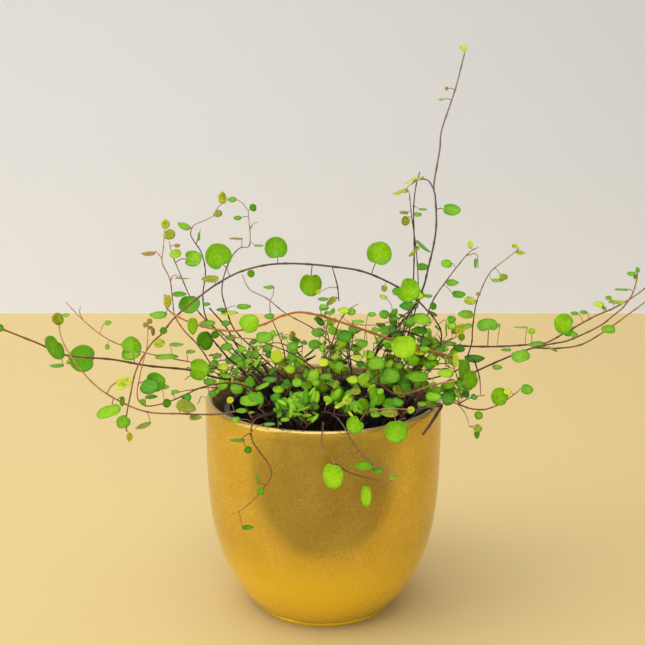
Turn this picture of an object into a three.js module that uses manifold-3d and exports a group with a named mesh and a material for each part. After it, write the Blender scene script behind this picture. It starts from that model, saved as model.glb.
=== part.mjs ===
// A potted angel vine: a gold glazed cover pot, the black nursery pot that stands in it, the soil,
// and the vine, a tangle of wiry runners with small round leaves on stalks.
// Millimetres, +Z up. The origin is the middle of the foot ring, on the surface that the pot stands on.
// The front is -Y, and +X is to the right.

import * as THREE from "three";
import Module from "manifold-3d";
import { mergeVertices } from "three/addons/utils/BufferGeometryUtils.js";

const wasm = await Module();
wasm.setup();

// ---------------------------------------------------------------- driving dimensions

const coverPot = {
  rimRadius: 70,
  height: 130,
  wall: 4.2,
  shoulderRadius: 43.5, // where the bowl starts, just above the foot
  fullness: 4.2, // how soon the bowl reaches its full width
  footRadius: 42,
  footHeight: 3,
  footRingWidth: 7,
  footRecess: 1.5,
  floorLevel: 6,
  chamfer: 0.5, // on the foot ring and round the floor
  lipSides: 6,
  sides: 48,
};

// Where the bowl's outline is drawn, as shares of its height, from the foot up.
const outsideStations = [0.003, 0.024, 0.063, 0.118, 0.189, 0.283, 0.409, 0.567, 0.756];
const insideStations = [0.079, 0.157, 0.283, 0.504, 0.756];

const nurseryPot = {
  wall: 1.2,
  rimBelowCover: 7,
  rimGap: 6.8, // from the collar to the cover pot's wall
  baseGap: 1.6, // from the bottom edge to the cover pot's wall
  collarWidth: 2,
  collarHeight: 9,
  collarWall: 0.84, // how thick the collar's turned-down lip is
  drainHoles: 8,
  drainRadius: 3.5,
  drainRing: 26,
  drainSides: 12,
  sides: 44,
};

const soil = {
  edgeBelowCover: 18,
  crown: 4, // how much higher the middle is
};

const crownRings = [0.85, 0.6, 0.3, 0]; // where the soil's top is drawn, as shares of its radius

const leafBlade = {
  thickness: 0.5,
  waist: 0.94, // length over width
  notch: 0.08, // how deep the heart-shaped base is cut
  outline: 10,
};

const stalk = {
  radius: 0.4,
  bow: 0.15, // how far it bows up, over its length
  rootedIn: 1.2, // how far it runs into the blade
  steps: 4,
};

const seat = 0.3; // the gap between pieces that rest on or in each other
const stemSides = 5;
const stemStep = 10; // length of one straight bit of stem
const rootSteps = 6; // straight bits in the hole that a stem's root stands in
const rootRoom = 3 * seat; // the gap between a root and the soil
const stalkSides = 4;
const twigShare = 0.8; // a twig's thickness over its runner's
const routesDrawnFor = 70; // the rim radius that the runners' places are given for

// Up to the rim, the bowl's outside swells fast and then stands nearly straight.
function coverRadius(level) {
  const rise = (level - coverPot.footHeight) / (coverPot.height - coverPot.footHeight);
  const swell = coverPot.rimRadius - coverPot.shoulderRadius;
  return coverPot.rimRadius - swell * (1 - rise) ** coverPot.fullness;
}

const coverInside = (level) => coverRadius(level) - coverPot.wall;

const nursery = (() => {
  const base = coverPot.floorLevel + seat;
  const rim = coverPot.height - nurseryPot.rimBelowCover;
  const collarRadius = coverInside(rim) - nurseryPot.rimGap;
  const topRadius = collarRadius - nurseryPot.collarWidth;
  const baseRadius = coverInside(base) - nurseryPot.baseGap;
  const slope = (topRadius - baseRadius) / (rim - base - nurseryPot.wall);
  const insideAt = (level) => baseRadius + slope * (level - base - nurseryPot.wall) - nurseryPot.wall;
  return { base, rim, collarRadius, topRadius, baseRadius, insideAt };
})();

// ---------------------------------------------------------------- materials

const glaze = { color: 0xc0963a, metalness: 0.85, roughness: 0.36 };
const blackPlastic = { color: 0x17181a, metalness: 0, roughness: 0.5 };
const pottingSoil = { color: 0x1d1712, metalness: 0, roughness: 1 };
const oldStem = { color: 0x3f2723, metalness: 0, roughness: 0.75 };
const youngStem = { color: 0x9a5a3c, metalness: 0, roughness: 0.7 };
const greenLeaf = { color: 0x5fa516, metalness: 0, roughness: 0.5 };

// ---------------------------------------------------------------- the vine, laid out by hand
//
// A place is [x, y, h]: h is the height above the cover pot's rim. A runner's route starts in the soil.
// A twig starts on its runner, at the point nearest to its first place.
// A leaf is [x, y, h, width, lean, toward]: the middle of the blade, how far it leans away from
// facing the front, in degrees, and the way it leans, as an angle from +X up towards +Z.

const runners = [
  {
    name: "tall_leader",
    thickness: 1.6,
    route: [
      [24, 8, -23], [24, 8, -12], [30, 8, 19], [37, 8, 30], [45, 7, 41], [51, 6, 48], [58, 3, 63],
      [61, 2, 76],
      [64, 1, 91], [65, 0, 103], [64, -1, 118], [63, -1, 125], [66, 0, 145], [67, 1, 156], [74, 2, 178],
      [79, 4, 198],
    ],
    twigs: [[[63, -1, 123], [60, 4, 127], [55, 8, 127], [51, 10, 124]]],
    leaves: [[73, -3, 111, 10, 45, 95]],
  },
  {
    name: "paired_upright_left",
    thickness: 1.2,
    route: [
      [44, 20, -23], [44, 20, -12], [47, 20, 26], [53, 20, 53], [54, 18, 81], [53, 16, 108], [54, 15, 122],
      [56, 13, 131],
    ],
  },
  {
    name: "paired_upright_right",
    thickness: 1,
    route: [
      [41, 26, -23], [41, 26, -12], [50, 26, 24], [57, 26, 52], [56, 25, 80], [53, 24, 100],
      [51, 24, 116],
    ],
  },
  {
    name: "right_near_upright",
    thickness: 1.1,
    route: [
      [45, -7, -23], [45, -7, -12], [51, -8, 12], [57, -9, 35], [62, -10, 57], [71, -11, 72], [78, -12, 82],
      [83, -12, 88], [88, -12, 91],
    ],
    twigs: [[[82, -12, 86], [87, -13, 87], [88, -14, 79]]],
  },
  {
    name: "right_far_upright",
    thickness: 1.2,
    route: [
      [42, 14, -23], [42, 14, -12], [56, 15, 2], [70, 14, 7], [83, 13, 13], [89, 15, 26], [90, 18, 36],
      [92, 21, 50],
      [96, 23, 61], [101, 24, 70], [110, 26, 77], [118, 28, 83],
    ],
  },
  {
    name: "upper_right_runner",
    thickness: 1.6,
    route: [
      [30, 1, -23], [30, 1, -12], [31, 1, 24], [38, -1, 36], [47, -1, 39], [55, 2, 36], [66, 6, 31],
      [79, 8, 28],
      [101, 9, 27], [122, 6, 29], [132, 3, 31], [145, -1, 40], [158, -5, 49], [167, -8, 54], [176, -10, 60],
      [184, -12, 67], [192, -13, 75],
    ],
    leaves: [[139, -11, 46, 12, 20, 90], [97, 5, 41, 12, 60, 95]],
  },
  {
    name: "lower_right_runner",
    thickness: 1.5,
    route: [
      [46, -14, -23], [46, -14, -12], [60, -11, 3], [74, -10, 9], [91, -10, 18], [109, -6, 25],
      [123, -5, 30],
      [132, -8, 33], [141, -12, 36], [150, -15, 41], [159, -18, 47], [165, -20, 53], [170, -21, 58],
      [174, -21, 64],
      [176, -21, 70], [177, -21, 76],
    ],
    twigs: [
      [
        [123, -5, 30], [135, -10, 31], [148, -17, 35], [160, -24, 45], [172, -28, 56], [183, -31, 66],
        [191, -33, 73],
      ],
    ],
    leaves: [[114, -15, 28, 11, 60, 95]],
  },
  {
    name: "right_front_runner",
    thickness: 1.3,
    route: [
      [40, -28, -23], [40, -28, -12], [54, -27, 2], [67, -27, 6], [76, -31, 4], [83, -37, 3],
      [90, -42, 4], [95, -46, 7],
      [99, -49, 10], [103, -51, 14], [107, -53, 18],
    ],
    twigs: [[[77, -31, 4], [80, -37, 8], [84, -41, 11], [90, -44, 13]]],
    leaves: [[97, -53, 15, 10, 20, 60]],
  },
  {
    name: "right_front_drooper",
    thickness: 0.9,
    route: [
      [31, -31, -23], [31, -31, -12], [40, -39, 0], [51, -46, 5], [62, -51, 9], [71, -53, 12], [76, -57, 9],
      [78, -62, 6], [79, -66, 2],
    ],
  },
  {
    name: "high_arch",
    thickness: 1.6,
    route: [
      [50, 2, -23], [50, 2, -12], [59, 0, 8], [67, -3, 24], [69, -5, 38], [65, -6, 47], [60, -7, 53],
      [54, -7, 59],
      [41, -8, 68], [23, -8, 76], [5, -8, 79], [-13, -10, 81], [-30, -12, 81], [-46, -16, 78],
      [-59, -20, 72],
      [-70, -26, 65], [-83, -34, 55], [-89, -42, 48], [-94, -47, 44], [-100, -51, 35], [-103, -55, 28],
      [-105, -59, 18], [-107, -63, 7], [-107, -65, -1],
    ],
    twigs: [[[5, -8, 79], [8, -9, 68], [9, -10, 59]]],
    leaves: [
      [-27, -10, 90, 13, 20, 90],
      [-59, -20, 87, 15, 20, 90],
      [-7, -10, 69, 14, 28, 20],
      [32, -6, 86, 14.5, 20, 90],
      [48, -17, 67, 14, 20, 90],
    ],
  },
  {
    name: "low_arch",
    thickness: 1.5,
    route: [
      [43, -21, -23], [43, -21, -12], [56, -21, 4], [70, -22, 10], [79, -23, 18], [78, -24, 27],
      [69, -24, 31],
      [55, -24, 35], [37, -26, 41], [10, -28, 51], [-10, -30, 57], [-22, -32, 56], [-34, -34, 51],
      [-49, -36, 48], [-63, -38, 50],
      [-74, -40, 54], [-83, -41, 59], [-87, -41, 64], [-87, -41, 70],
    ],
    leaves: [[-41, -43, 54, 11, 30, 90], [45, -36, 39, 14, 20, 90], [83, -34, 19, 11, 35, 0]],
  },
  {
    name: "left_long_runner",
    thickness: 1.7,
    route: [
      [-30, -6, -23], [-30, -6, -12], [-38, -7, 5], [-47, -9, 11], [-62, -16, 15], [-76, -28, 23],
      [-97, -44, 30],
      [-115, -56, 37], [-136, -70, 43], [-148, -80, 52], [-163, -90, 62], [-178, -97, 71], [-191, -102, 79],
    ],
    leaves: [
      [-131, -54, 37, 15, 20, 90],
      [-140, -80, 50, 14, 72, 33],
      [-106, -42, 41, 11, 45, 60],
      [-70, -37, 26, 12, 20, 90],
    ],
  },
  {
    name: "left_thin_runner",
    thickness: 1,
    route: [
      [-36, 6, -23], [-36, 6, -12], [-43, 5, 6], [-53, 2, 14], [-72, -8, 21], [-102, -20, 31],
      [-121, -26, 40],
      [-134, -28, 51], [-144, -30, 63],
    ],
    twigs: [[[-136, -28, 53], [-137, -28, 57], [-136, -28, 60]]],
  },
  {
    name: "left_sweeping_runner",
    thickness: 1.3,
    route: [
      [-26, -32, -23], [-26, -32, -12], [-38, -42, 2], [-48, -49, 5], [-60, -54, 5], [-78, -62, 8],
      [-93, -69, 11],
      [-104, -75, 17], [-117, -82, 28], [-126, -86, 40], [-132, -88, 51], [-135, -88, 60], [-135, -88, 68],
    ],
    leaves: [[-105, -83, 32, 10, 68, 95], [-112, -87, 17, 13, 73, 105]],
  },
  {
    name: "left_looping_runner",
    thickness: 1.2,
    route: [
      [-22, -20, -23], [-22, -20, -12], [-36, -27, 8], [-50, -34, 17], [-66, -44, 18], [-75, -51, 16],
      [-82, -56, 14],
      [-88, -60, 13], [-95, -64, 13], [-99, -66, 16], [-100, -67, 22], [-97, -67, 36], [-94, -66, 47],
      [-93, -66, 60],
    ],
    leaves: [[-91, -62, 26, 11, 40, 60]],
  },
  {
    name: "left_upright_outer",
    thickness: 1.1,
    route: [
      [-40, 14, -23], [-40, 14, -12], [-54, 13, 4], [-67, 12, 15], [-72, 11, 23], [-77, 10, 30],
      [-83, 9, 37],
      [-88, 8, 46], [-89, 7, 56], [-90, 5, 69], [-94, 4, 79], [-93, 4, 88], [-92, 4, 98],
    ],
    twigs: [[[-93, 4, 81], [-96, 4, 84], [-98, 4, 86]], [[-90, 5, 67], [-88, 4, 71], [-85, 3, 72]]],
  },
  {
    name: "left_upright_second",
    thickness: 1.1,
    route: [
      [-30, 20, -23], [-30, 20, -12], [-42, 19, 8], [-54, 19, 22], [-66, 18, 36], [-76, 17, 48],
      [-81, 16, 59],
      [-85, 15, 70], [-89, 14, 81], [-91, 14, 90],
    ],
    leaves: [[-79, 5, 54, 13, 48, 95], [-77, 11, 80, 11, 40, 95]],
  },
  {
    name: "left_upright_third",
    thickness: 1.1,
    route: [
      [-24, 28, -23], [-24, 28, -12], [-36, 27, 8], [-50, 27, 22], [-62, 26, 31], [-71, 26, 40],
      [-73, 26, 54],
      [-71, 25, 69], [-73, 24, 81], [-77, 23, 88], [-79, 22, 93], [-77, 22, 98], [-71, 20, 101],
      [-65, 19, 104],
    ],
    twigs: [[[-76, 23, 87], [-74, 22, 92], [-73, 21, 96]]],
  },
  {
    name: "left_upright_fourth",
    thickness: 1.1,
    route: [
      [-12, 34, -23], [-12, 34, -12], [-28, 33, 4], [-44, 33, 20], [-55, 33, 32], [-60, 33, 46],
      [-62, 33, 56],
      [-60, 33, 67], [-55, 32, 78], [-50, 31, 83], [-45, 30, 84], [-44, 29, 91], [-45, 29, 106],
    ],
    twigs: [[[-45, 29, 95], [-42, 29, 98], [-39, 29, 99]]],
  },
  {
    name: "crossing_twig",
    thickness: 1,
    route: [
      [36, 26, -23], [36, 26, -12], [28, 18, 10], [13, 10, 21], [4, 9, 30], [-7, 8, 39], [-22, 6, 48],
      [-33, 2, 58],
      [-43, 0, 64], [-47, -2, 73],
    ],
  },
  {
    name: "thin_inner_upright",
    thickness: 0.9,
    route: [
      [-22, -6, -23], [-22, -6, -12], [-22, -6, 16], [-23, -6, 28], [-26, -6, 38], [-30, -6, 48],
      [-31, -6, 57],
      [-29, -6, 62],
    ],
  },
  {
    name: "cut_stem",
    thickness: 1.7,
    route: [
      [-20, 4, -23], [-20, 4, -12], [-34, 4, 8], [-43, 2, 18], [-51, 0, 30], [-57, -3, 42],
      [-66, -6, 54],
    ],
  },
  {
    name: "middle_runner",
    thickness: 1.2,
    route: [
      [8, -10, -23], [8, -10, -12], [2, -11, 8], [-3, -13, 17], [-11, -16, 25], [-20, -18, 31],
      [-26, -20, 34],
      [-38, -22, 39], [-48, -24, 41], [-58, -26, 43],
    ],
  },
  {
    name: "inner_curl",
    thickness: 1.2,
    route: [
      [16, -16, -23], [16, -16, -12], [2, -17, 12], [1, -16, 26], [6, -14, 38], [9, -13, 47],
      [14, -12, 54], [20, -12, 58],
    ],
  },
  {
    name: "front_left_hanger",
    thickness: 1.1,
    route: [
      [-12, -36, -23], [-12, -36, -12], [-24, -48, 2], [-33, -60, 6], [-38, -68, 5], [-38, -75, -3],
      [-30, -78, -14],
      [-28, -80, -21], [-35, -82, -31], [-43, -84, -38], [-49, -85, -41],
    ],
    twigs: [[[-37, -73, 0], [-40, -78, 2], [-44, -81, 0]]],
  },
  {
    name: "front_right_hanger",
    thickness: 1.1,
    route: [
      [2, -38, -23], [2, -38, -12], [4, -50, 2], [7, -62, 6], [11, -72, 4], [15, -77, -2], [20, -80, -8],
      [27, -81, -14], [34, -82, -18], [40, -82, -21],
    ],
    leaves: [[5, -85, -19, 13, 30, 180]],
  },
  {
    name: "front_rim_shoot",
    thickness: 1.1,
    route: [
      [22, -38, -23], [22, -38, -12], [22, -52, 3], [25, -62, 9], [31, -67, 12], [40, -66, 12],
      [48, -61, 10],
    ],
    leaves: [[39, -74, 2, 12.5, 25, 80], [17, -72, 5, 9.5, 20, 90]],
  },
  {
    name: "back_left_hanger",
    thickness: 1.3,
    route: [
      [-24, 38, -23], [-24, 38, -12], [-36, 50, 3], [-48, 63, 6], [-58, 75, -2], [-64, 84, -20],
      [-66, 90, -44],
      [-62, 94, -66],
    ],
  },
  {
    name: "back_middle_hanger",
    thickness: 1.3,
    route: [
      [4, 40, -23], [4, 40, -12], [8, 54, 3], [12, 69, 8], [16, 83, 3], [20, 93, -14], [18, 99, -38],
      [24, 103, -60],
    ],
  },
  {
    name: "back_right_hanger",
    thickness: 1.3,
    route: [
      [30, 36, -23], [30, 36, -12], [42, 48, 3], [54, 60, 8], [68, 70, 8], [82, 80, 0], [90, 89, -16],
      [92, 96, -36],
    ],
  },
  {
    name: "back_arch",
    thickness: 1.2,
    route: [
      [-6, 26, -23], [-6, 26, -12], [-10, 42, 6], [-18, 56, 12], [-30, 72, 13], [-42, 88, 5],
      [-50, 101, -10],
    ],
  },
  {
    name: "back_left_runner",
    thickness: 1.2,
    route: [
      [-40, 24, -23], [-40, 24, -12], [-50, 38, 4], [-60, 50, 7], [-70, 62, 2], [-76, 74, -12],
      [-76, 84, -30],
    ],
  },
];

// ---------------------------------------------------------------- solids

function solidOf(geometry) {
  const bare = geometry.clone();
  bare.deleteAttribute("normal");
  bare.deleteAttribute("uv");
  const merged = mergeVertices(bare, 1e-4);
  const mesh = new wasm.Mesh({
    numProp: 3,
    vertProperties: new Float32Array(merged.attributes.position.array),
    triVerts: new Uint32Array(merged.index.array),
  });
  return new wasm.Manifold(mesh);
}

function geometryOf(solid) {
  const mesh = solid.getMesh();
  const geometry = new THREE.BufferGeometry();
  geometry.setAttribute("position", new THREE.BufferAttribute(mesh.vertProperties, 3));
  geometry.setIndex(new THREE.BufferAttribute(mesh.triVerts, 1));
  geometry.computeVertexNormals();
  return geometry;
}

// A profile of [radius, level] points, turned about the vertical axis.
function turned(profile, sides) {
  const points = profile.map(([radius, level]) => new THREE.Vector2(radius, level));
  const geometry = new THREE.LatheGeometry(points, sides);
  geometry.rotateX(Math.PI / 2);
  return geometry;
}

function tubeAlong(curve, radius, sides, steps) {
  const section = new THREE.Shape();
  for (let i = 0; i < sides; i++) {
    const angle = (2 * Math.PI * i) / sides;
    if (i === 0) section.moveTo(radius, 0);
    else section.lineTo(radius * Math.cos(angle), radius * Math.sin(angle));
  }
  section.closePath();
  return new THREE.ExtrudeGeometry(section, { extrudePath: curve, steps });
}

// ---------------------------------------------------------------- pots and soil

function coverPotGeometry() {
  const { height, wall, footRadius, footHeight, footRecess, floorLevel, chamfer, lipSides } = coverPot;
  const ringInside = footRadius - coverPot.footRingWidth;
  const lip = wall / 2;
  const profile = [
    [0, footRecess],
    [ringInside - chamfer, footRecess],
    [ringInside, 0],
    [footRadius, 0],
    [footRadius + chamfer, chamfer],
    [footRadius, footHeight - chamfer],
    [footRadius - chamfer, footHeight],
  ];
  for (const share of outsideStations) {
    const level = footHeight + share * (height - footHeight);
    profile.push([coverRadius(level), level]);
  }
  for (let i = 0; i <= lipSides; i++) {
    const angle = (Math.PI * i) / lipSides;
    profile.push([coverPot.rimRadius - lip + lip * Math.cos(angle), height - lip + lip * Math.sin(angle)]);
  }
  for (const share of insideStations.toReversed()) {
    const level = floorLevel + share * (height - floorLevel);
    profile.push([coverInside(level), level]);
  }
  profile.push([coverInside(floorLevel) - chamfer, floorLevel], [0, floorLevel]);
  return turned(profile, coverPot.sides);
}

function nurseryPotGeometry() {
  const { wall, collarHeight, collarWall, drainHoles, drainRadius, drainRing, sides } = nurseryPot;
  const { base, rim, collarRadius, topRadius, baseRadius } = nursery;
  const shell = turned(
    [
      [0, base],
      [baseRadius, base],
      [topRadius, rim - wall],
      [collarRadius - collarWall, rim - wall],
      [collarRadius - collarWall, rim - collarHeight],
      [collarRadius, rim - collarHeight],
      [collarRadius, rim],
      [topRadius - wall, rim],
      [baseRadius - wall, base + wall],
      [0, base + wall],
    ],
    sides,
  );
  let pot = solidOf(shell);
  for (let i = 0; i < drainHoles; i++) {
    const angle = (2 * Math.PI * i) / drainHoles;
    const hole = new THREE.CylinderGeometry(drainRadius, drainRadius, 4 * wall, nurseryPot.drainSides);
    hole.rotateX(Math.PI / 2);
    hole.translate(drainRing * Math.cos(angle), drainRing * Math.sin(angle), base);
    pot = pot.subtract(solidOf(hole));
  }
  return geometryOf(pot);
}

// The root ball fills the nursery pot, and each stem stands in a hole of its own in it.
function soilGeometry(stems) {
  const bottom = nursery.base + nurseryPot.wall + seat;
  const edgeLevel = coverPot.height - soil.edgeBelowCover;
  const edgeRadius = nursery.insideAt(edgeLevel) - seat;
  const profile = [
    [0, bottom],
    [nursery.insideAt(bottom) - seat, bottom],
    [edgeRadius, edgeLevel],
  ];
  for (const share of crownRings) {
    profile.push([edgeRadius * share, edgeLevel + soil.crown * (1 - share * share)]);
  }
  let ball = solidOf(turned(profile, nurseryPot.sides));
  for (const { curve, radius } of stems) {
    const root = curve.getPoint(0);
    const below = root.clone();
    below.z -= 2 * seat;
    const hole = curveThrough([below, ...curve.points.slice(0, 3)]);
    ball = ball.subtract(solidOf(tubeAlong(hole, radius + rootRoom, stemSides, rootSteps)));
  }
  const bodies = ball.decompose();
  bodies.sort((a, b) => b.volume() - a.volume());
  return geometryOf(bodies[0]);
}

// ---------------------------------------------------------------- the vine

function placed([x, y, h]) {
  const spread = coverPot.rimRadius / routesDrawnFor;
  return new THREE.Vector3(x * spread, y * spread, coverPot.height + h);
}

function curveThrough(points) {
  return new THREE.CatmullRomCurve3(points, false, "catmullrom", 0.5);
}

const stepsAlong = (curve) => Math.ceil(curve.getLength() / stemStep) + 2;

// The place nearest to a point on the straight bits that the stems are made of.
function nearestOn(curves, point) {
  let best = null;
  for (const { curve, radius } of curves) {
    const joints = curve.getSpacedPoints(stepsAlong(curve));
    for (let i = 1; i < joints.length; i++) {
      const bit = new THREE.Line3(joints[i - 1], joints[i]);
      const on = bit.closestPointToPoint(point, true, new THREE.Vector3());
      const distance = on.distanceTo(point);
      if (!best || distance < best.distance) best = { on, distance, radius };
    }
  }
  return best;
}

// A runner and its twigs, as curves with their radii, the runner first.
function stemCurves(runner) {
  const main = { curve: curveThrough(runner.route.map(placed)), radius: runner.thickness / 2 };
  const twigs = (runner.twigs ?? []).map((twig) => {
    const points = twig.map(placed);
    points[0] = nearestOn([main], points[0]).on;
    return { curve: curveThrough(points), radius: main.radius * twigShare };
  });
  return [main, ...twigs];
}

function stemGeometry(curves) {
  const [main, ...twigs] = curves.map(({ curve, radius }) =>
    solidOf(tubeAlong(curve, radius, stemSides, stepsAlong(curve))),
  );
  return geometryOf(twigs.reduce((stem, twig) => stem.add(twig), main));
}

// Nearly round, a little wider than long, with a shallow notch where the stalk joins.
// The base of the blade is at the origin, and it points along +Y.
function bladeGeometry(width) {
  const radius = width / 2;
  const shape = new THREE.Shape();
  for (let i = 0; i < leafBlade.outline; i++) {
    const angle = (2 * Math.PI * (i + 0.5)) / leafBlade.outline - Math.PI / 2;
    const baseShare = Math.max(0, -Math.sin(angle)) ** 6;
    const reach = radius * (1 - leafBlade.notch * baseShare);
    const x = reach * Math.cos(angle);
    const y = reach * leafBlade.waist * Math.sin(angle);
    if (i === 0) shape.moveTo(x, y);
    else shape.lineTo(x, y);
  }
  shape.closePath();
  const flat = { depth: leafBlade.thickness, bevelEnabled: false, steps: 1 };
  const geometry = new THREE.ExtrudeGeometry(shape, flat);
  geometry.translate(0, radius * leafBlade.waist, -leafBlade.thickness / 2);
  return geometry;
}

function leafGeometry([x, y, h, width, lean, toward], curves) {
  const middle = placed([x, y, h]);
  const { on, radius } = nearestOn(curves, middle);
  const tilt = THREE.MathUtils.degToRad(lean);
  const way = THREE.MathUtils.degToRad(toward);
  const aside = Math.sin(tilt);
  const facing = new THREE.Vector3(aside * Math.cos(way), -Math.cos(tilt), aside * Math.sin(way));
  const along = middle.clone().sub(on).projectOnPlane(facing).normalize();
  const across = new THREE.Vector3().crossVectors(along, facing);
  const base = middle.clone().addScaledVector(along, (-width / 2) * leafBlade.waist);

  const blade = bladeGeometry(width);
  blade.applyMatrix4(new THREE.Matrix4().makeBasis(across, along, facing).setPosition(base));

  const inBlade = base.clone().addScaledVector(along, stalk.rootedIn);
  const reach = base.clone().sub(on);
  const start = on.clone().addScaledVector(reach.clone().normalize(), radius + 2 * seat);
  const bend = start.clone().lerp(base, 0.5);
  bend.z += stalk.bow * reach.length();
  const stem = tubeAlong(curveThrough([start, bend, base, inBlade]), stalk.radius, stalkSides, stalk.steps);
  return geometryOf(solidOf(blade).add(solidOf(stem)));
}

// ---------------------------------------------------------------- the model

const plant = new THREE.Group();

function addNode(name, geometry, finish) {
  const mesh = new THREE.Mesh(geometry, new THREE.MeshStandardMaterial(finish));
  mesh.name = name;
  plant.add(mesh);
}

const vines = runners.map((runner) => ({ runner, curves: stemCurves(runner) }));

addNode("cover_pot", coverPotGeometry(), glaze);
addNode("nursery_pot", nurseryPotGeometry(), blackPlastic);
addNode("potting_soil", soilGeometry(vines.map(({ curves }) => curves[0])), pottingSoil);

for (const { runner, curves } of vines) {
  addNode(runner.name, stemGeometry(curves), runner.thickness > 1.2 ? oldStem : youngStem);
  (runner.leaves ?? []).forEach((leaf, i) => {
    addNode(`${runner.name}_leaf_${i + 1}`, leafGeometry(leaf, curves), greenLeaf);
  });
}

export default plant;
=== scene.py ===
"""Looks of a potted angel vine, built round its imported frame.

The frame gives a gold glazed cover pot, the black nursery pot inside it, the potting mix and the vine:
wiry runners with small round leaves on thin stalks. Sizes in this file are millimetres, +Z is up, the
front is -Y, and the origin is the middle of the foot ring. A piece is brought to metres when it is made.
"""

import logging
import math
import random
from collections.abc import Iterable, Sequence
from dataclasses import dataclass, field
from enum import Enum
from functools import cache

import bmesh
import bpy
from mathutils import Matrix, Vector, kdtree, noise


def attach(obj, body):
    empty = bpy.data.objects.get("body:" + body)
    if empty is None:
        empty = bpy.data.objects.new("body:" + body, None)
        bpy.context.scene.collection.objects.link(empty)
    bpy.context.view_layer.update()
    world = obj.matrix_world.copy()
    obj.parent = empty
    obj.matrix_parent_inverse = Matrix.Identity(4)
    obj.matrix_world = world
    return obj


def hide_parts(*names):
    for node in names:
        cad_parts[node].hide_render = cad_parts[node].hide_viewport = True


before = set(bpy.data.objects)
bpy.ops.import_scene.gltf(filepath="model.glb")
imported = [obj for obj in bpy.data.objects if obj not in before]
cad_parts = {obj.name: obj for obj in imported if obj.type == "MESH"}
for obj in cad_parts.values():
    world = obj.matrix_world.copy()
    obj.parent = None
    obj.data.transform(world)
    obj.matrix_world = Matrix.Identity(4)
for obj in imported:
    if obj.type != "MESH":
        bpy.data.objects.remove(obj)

log = logging.getLogger("angel_vine")

MM = 0.001
SIGHT = 0.3  # how far above level the plant is looked at from, in radians
RIM_LEVEL = 130.0  # heights on the vine are given above the cover pot's rim
FACTOR, FIRST, SECOND, MIXED = 0, 6, 7, 2  # a colour Mix node's inputs, and its output
Place = tuple[float, float, float]
Path = list[tuple[Vector, float]]  # places along a sweep, each with its radius
Stops = tuple[tuple[float, str], ...]  # a ramp's places from 0 to 1, each with its sRGB hex colour


class Bark(Enum):
    """How a runner's bark looks; the value is its slot in the record and the name of its finish."""

    OLD = ("woody_stem", "old")
    YOUNG = ("young_stem", "young")
    FLUSHED = ("woody_stem", "flushed")
    TAN = ("woody_stem", "tan")
    ARCHED = ("woody_stem", "arched")
    RUSTY = ("young_stem", "rusty")
    GREY = ("woody_stem", "grey")
    DARK = ("young_stem", "old")

    @property
    def slot(self) -> str:
        """Returns the record's slot."""
        return self.value[0]

    @property
    def finish(self) -> "Stem":
        """Returns the bark's finish."""
        return BARKS[self.value[1]]


def linear(code: str) -> tuple[float, float, float, float]:
    """Turns an sRGB hex colour to linear.

    Args:
        code: the colour, as "#RRGGBB".

    Returns:
        Red, green and blue in linear light, and an alpha of 1.
    """
    parts = [int(code[i : i + 2], 16) / 255 for i in (1, 3, 5)]
    light = [p / 12.92 if p <= 0.04045 else ((p + 0.055) / 1.055) ** 2.4 for p in parts]
    return (*light, 1.0)


def per_mm(size: float) -> float:
    """Returns a texture scale whose features are about size millimetres across."""
    return 1 / (size * MM)


def feed(tree: bpy.types.NodeTree, node: bpy.types.Node, links: dict) -> None:
    """Sets a node's inputs.

    Args:
        tree: the node tree it is in.
        node: the node.
        links: for each input's name or number, a value or the output socket that feeds it.
    """
    for name, value in links.items():
        socket = node.inputs[name]
        if isinstance(value, bpy.types.NodeSocket):
            tree.links.new(value, socket)
        else:
            socket.default_value = value


def add_node(tree: bpy.types.NodeTree, kind: str, links: dict | None = None, **settings) -> bpy.types.Node:
    """Adds one shader node.

    Args:
        tree: the node tree it goes into.
        kind: the node's type without "ShaderNode", such as "TexNoise".
        links: its inputs, as feed takes them.
        settings: the node's own properties.

    Returns:
        The new node.
    """
    node = tree.nodes.new(f"ShaderNode{kind}")
    for name, value in settings.items():
        setattr(node, name, value)
    feed(tree, node, links or {})
    return node


def set_ramp(node: bpy.types.Node, stops: Stops) -> None:
    """Gives a colour ramp its stops, in rising order."""
    ramp = node.color_ramp
    while len(ramp.elements) < len(stops):
        ramp.elements.new(0.5)
    for element, (place, code) in zip(ramp.elements, stops):
        element.position = place
        element.color = linear(code)


def new_material(name: str) -> tuple[bpy.types.Material, bpy.types.NodeTree, bpy.types.Node]:
    """Starts a material.

    Args:
        name: the material's name.

    Returns:
        The material, its empty tree and its Principled node, already joined to the output.
    """
    material = bpy.data.materials.new(name)
    material.use_nodes = True
    tree = material.node_tree
    tree.nodes.clear()
    shader = add_node(tree, "BsdfPrincipled")
    add_node(tree, "OutputMaterial", {"Surface": shader.outputs["BSDF"]})
    return material, tree, shader


def aged_tone(
    tree: bpy.types.NodeTree, mottle: bpy.types.Node, swing: float, stops: Stops
) -> bpy.types.NodeSocket:
    """Colours a living surface by its "age" attribute, mottled a little either way.

    Args:
        tree: the node tree.
        mottle: the noise that shifts the age.
        swing: how far it shifts it, at most.
        stops: the colours from age 0 to age 1.

    Returns:
        The colour.
    """
    age = add_node(tree, "Attribute", attribute_name="age")
    noisy = {"Value": mottle.outputs["Fac"], "From Min": 0.3, "From Max": 0.7}
    shift = add_node(tree, "MapRange", {**noisy, "To Min": -swing, "To Max": swing})
    shifted = add_node(tree, "Math", {0: age.outputs["Fac"], 1: shift.outputs[0]}, operation="ADD")
    tone = add_node(tree, "ValToRGB", {"Fac": shifted.outputs[0]})
    set_ramp(tone, stops)
    return tone.outputs["Color"]


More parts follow.
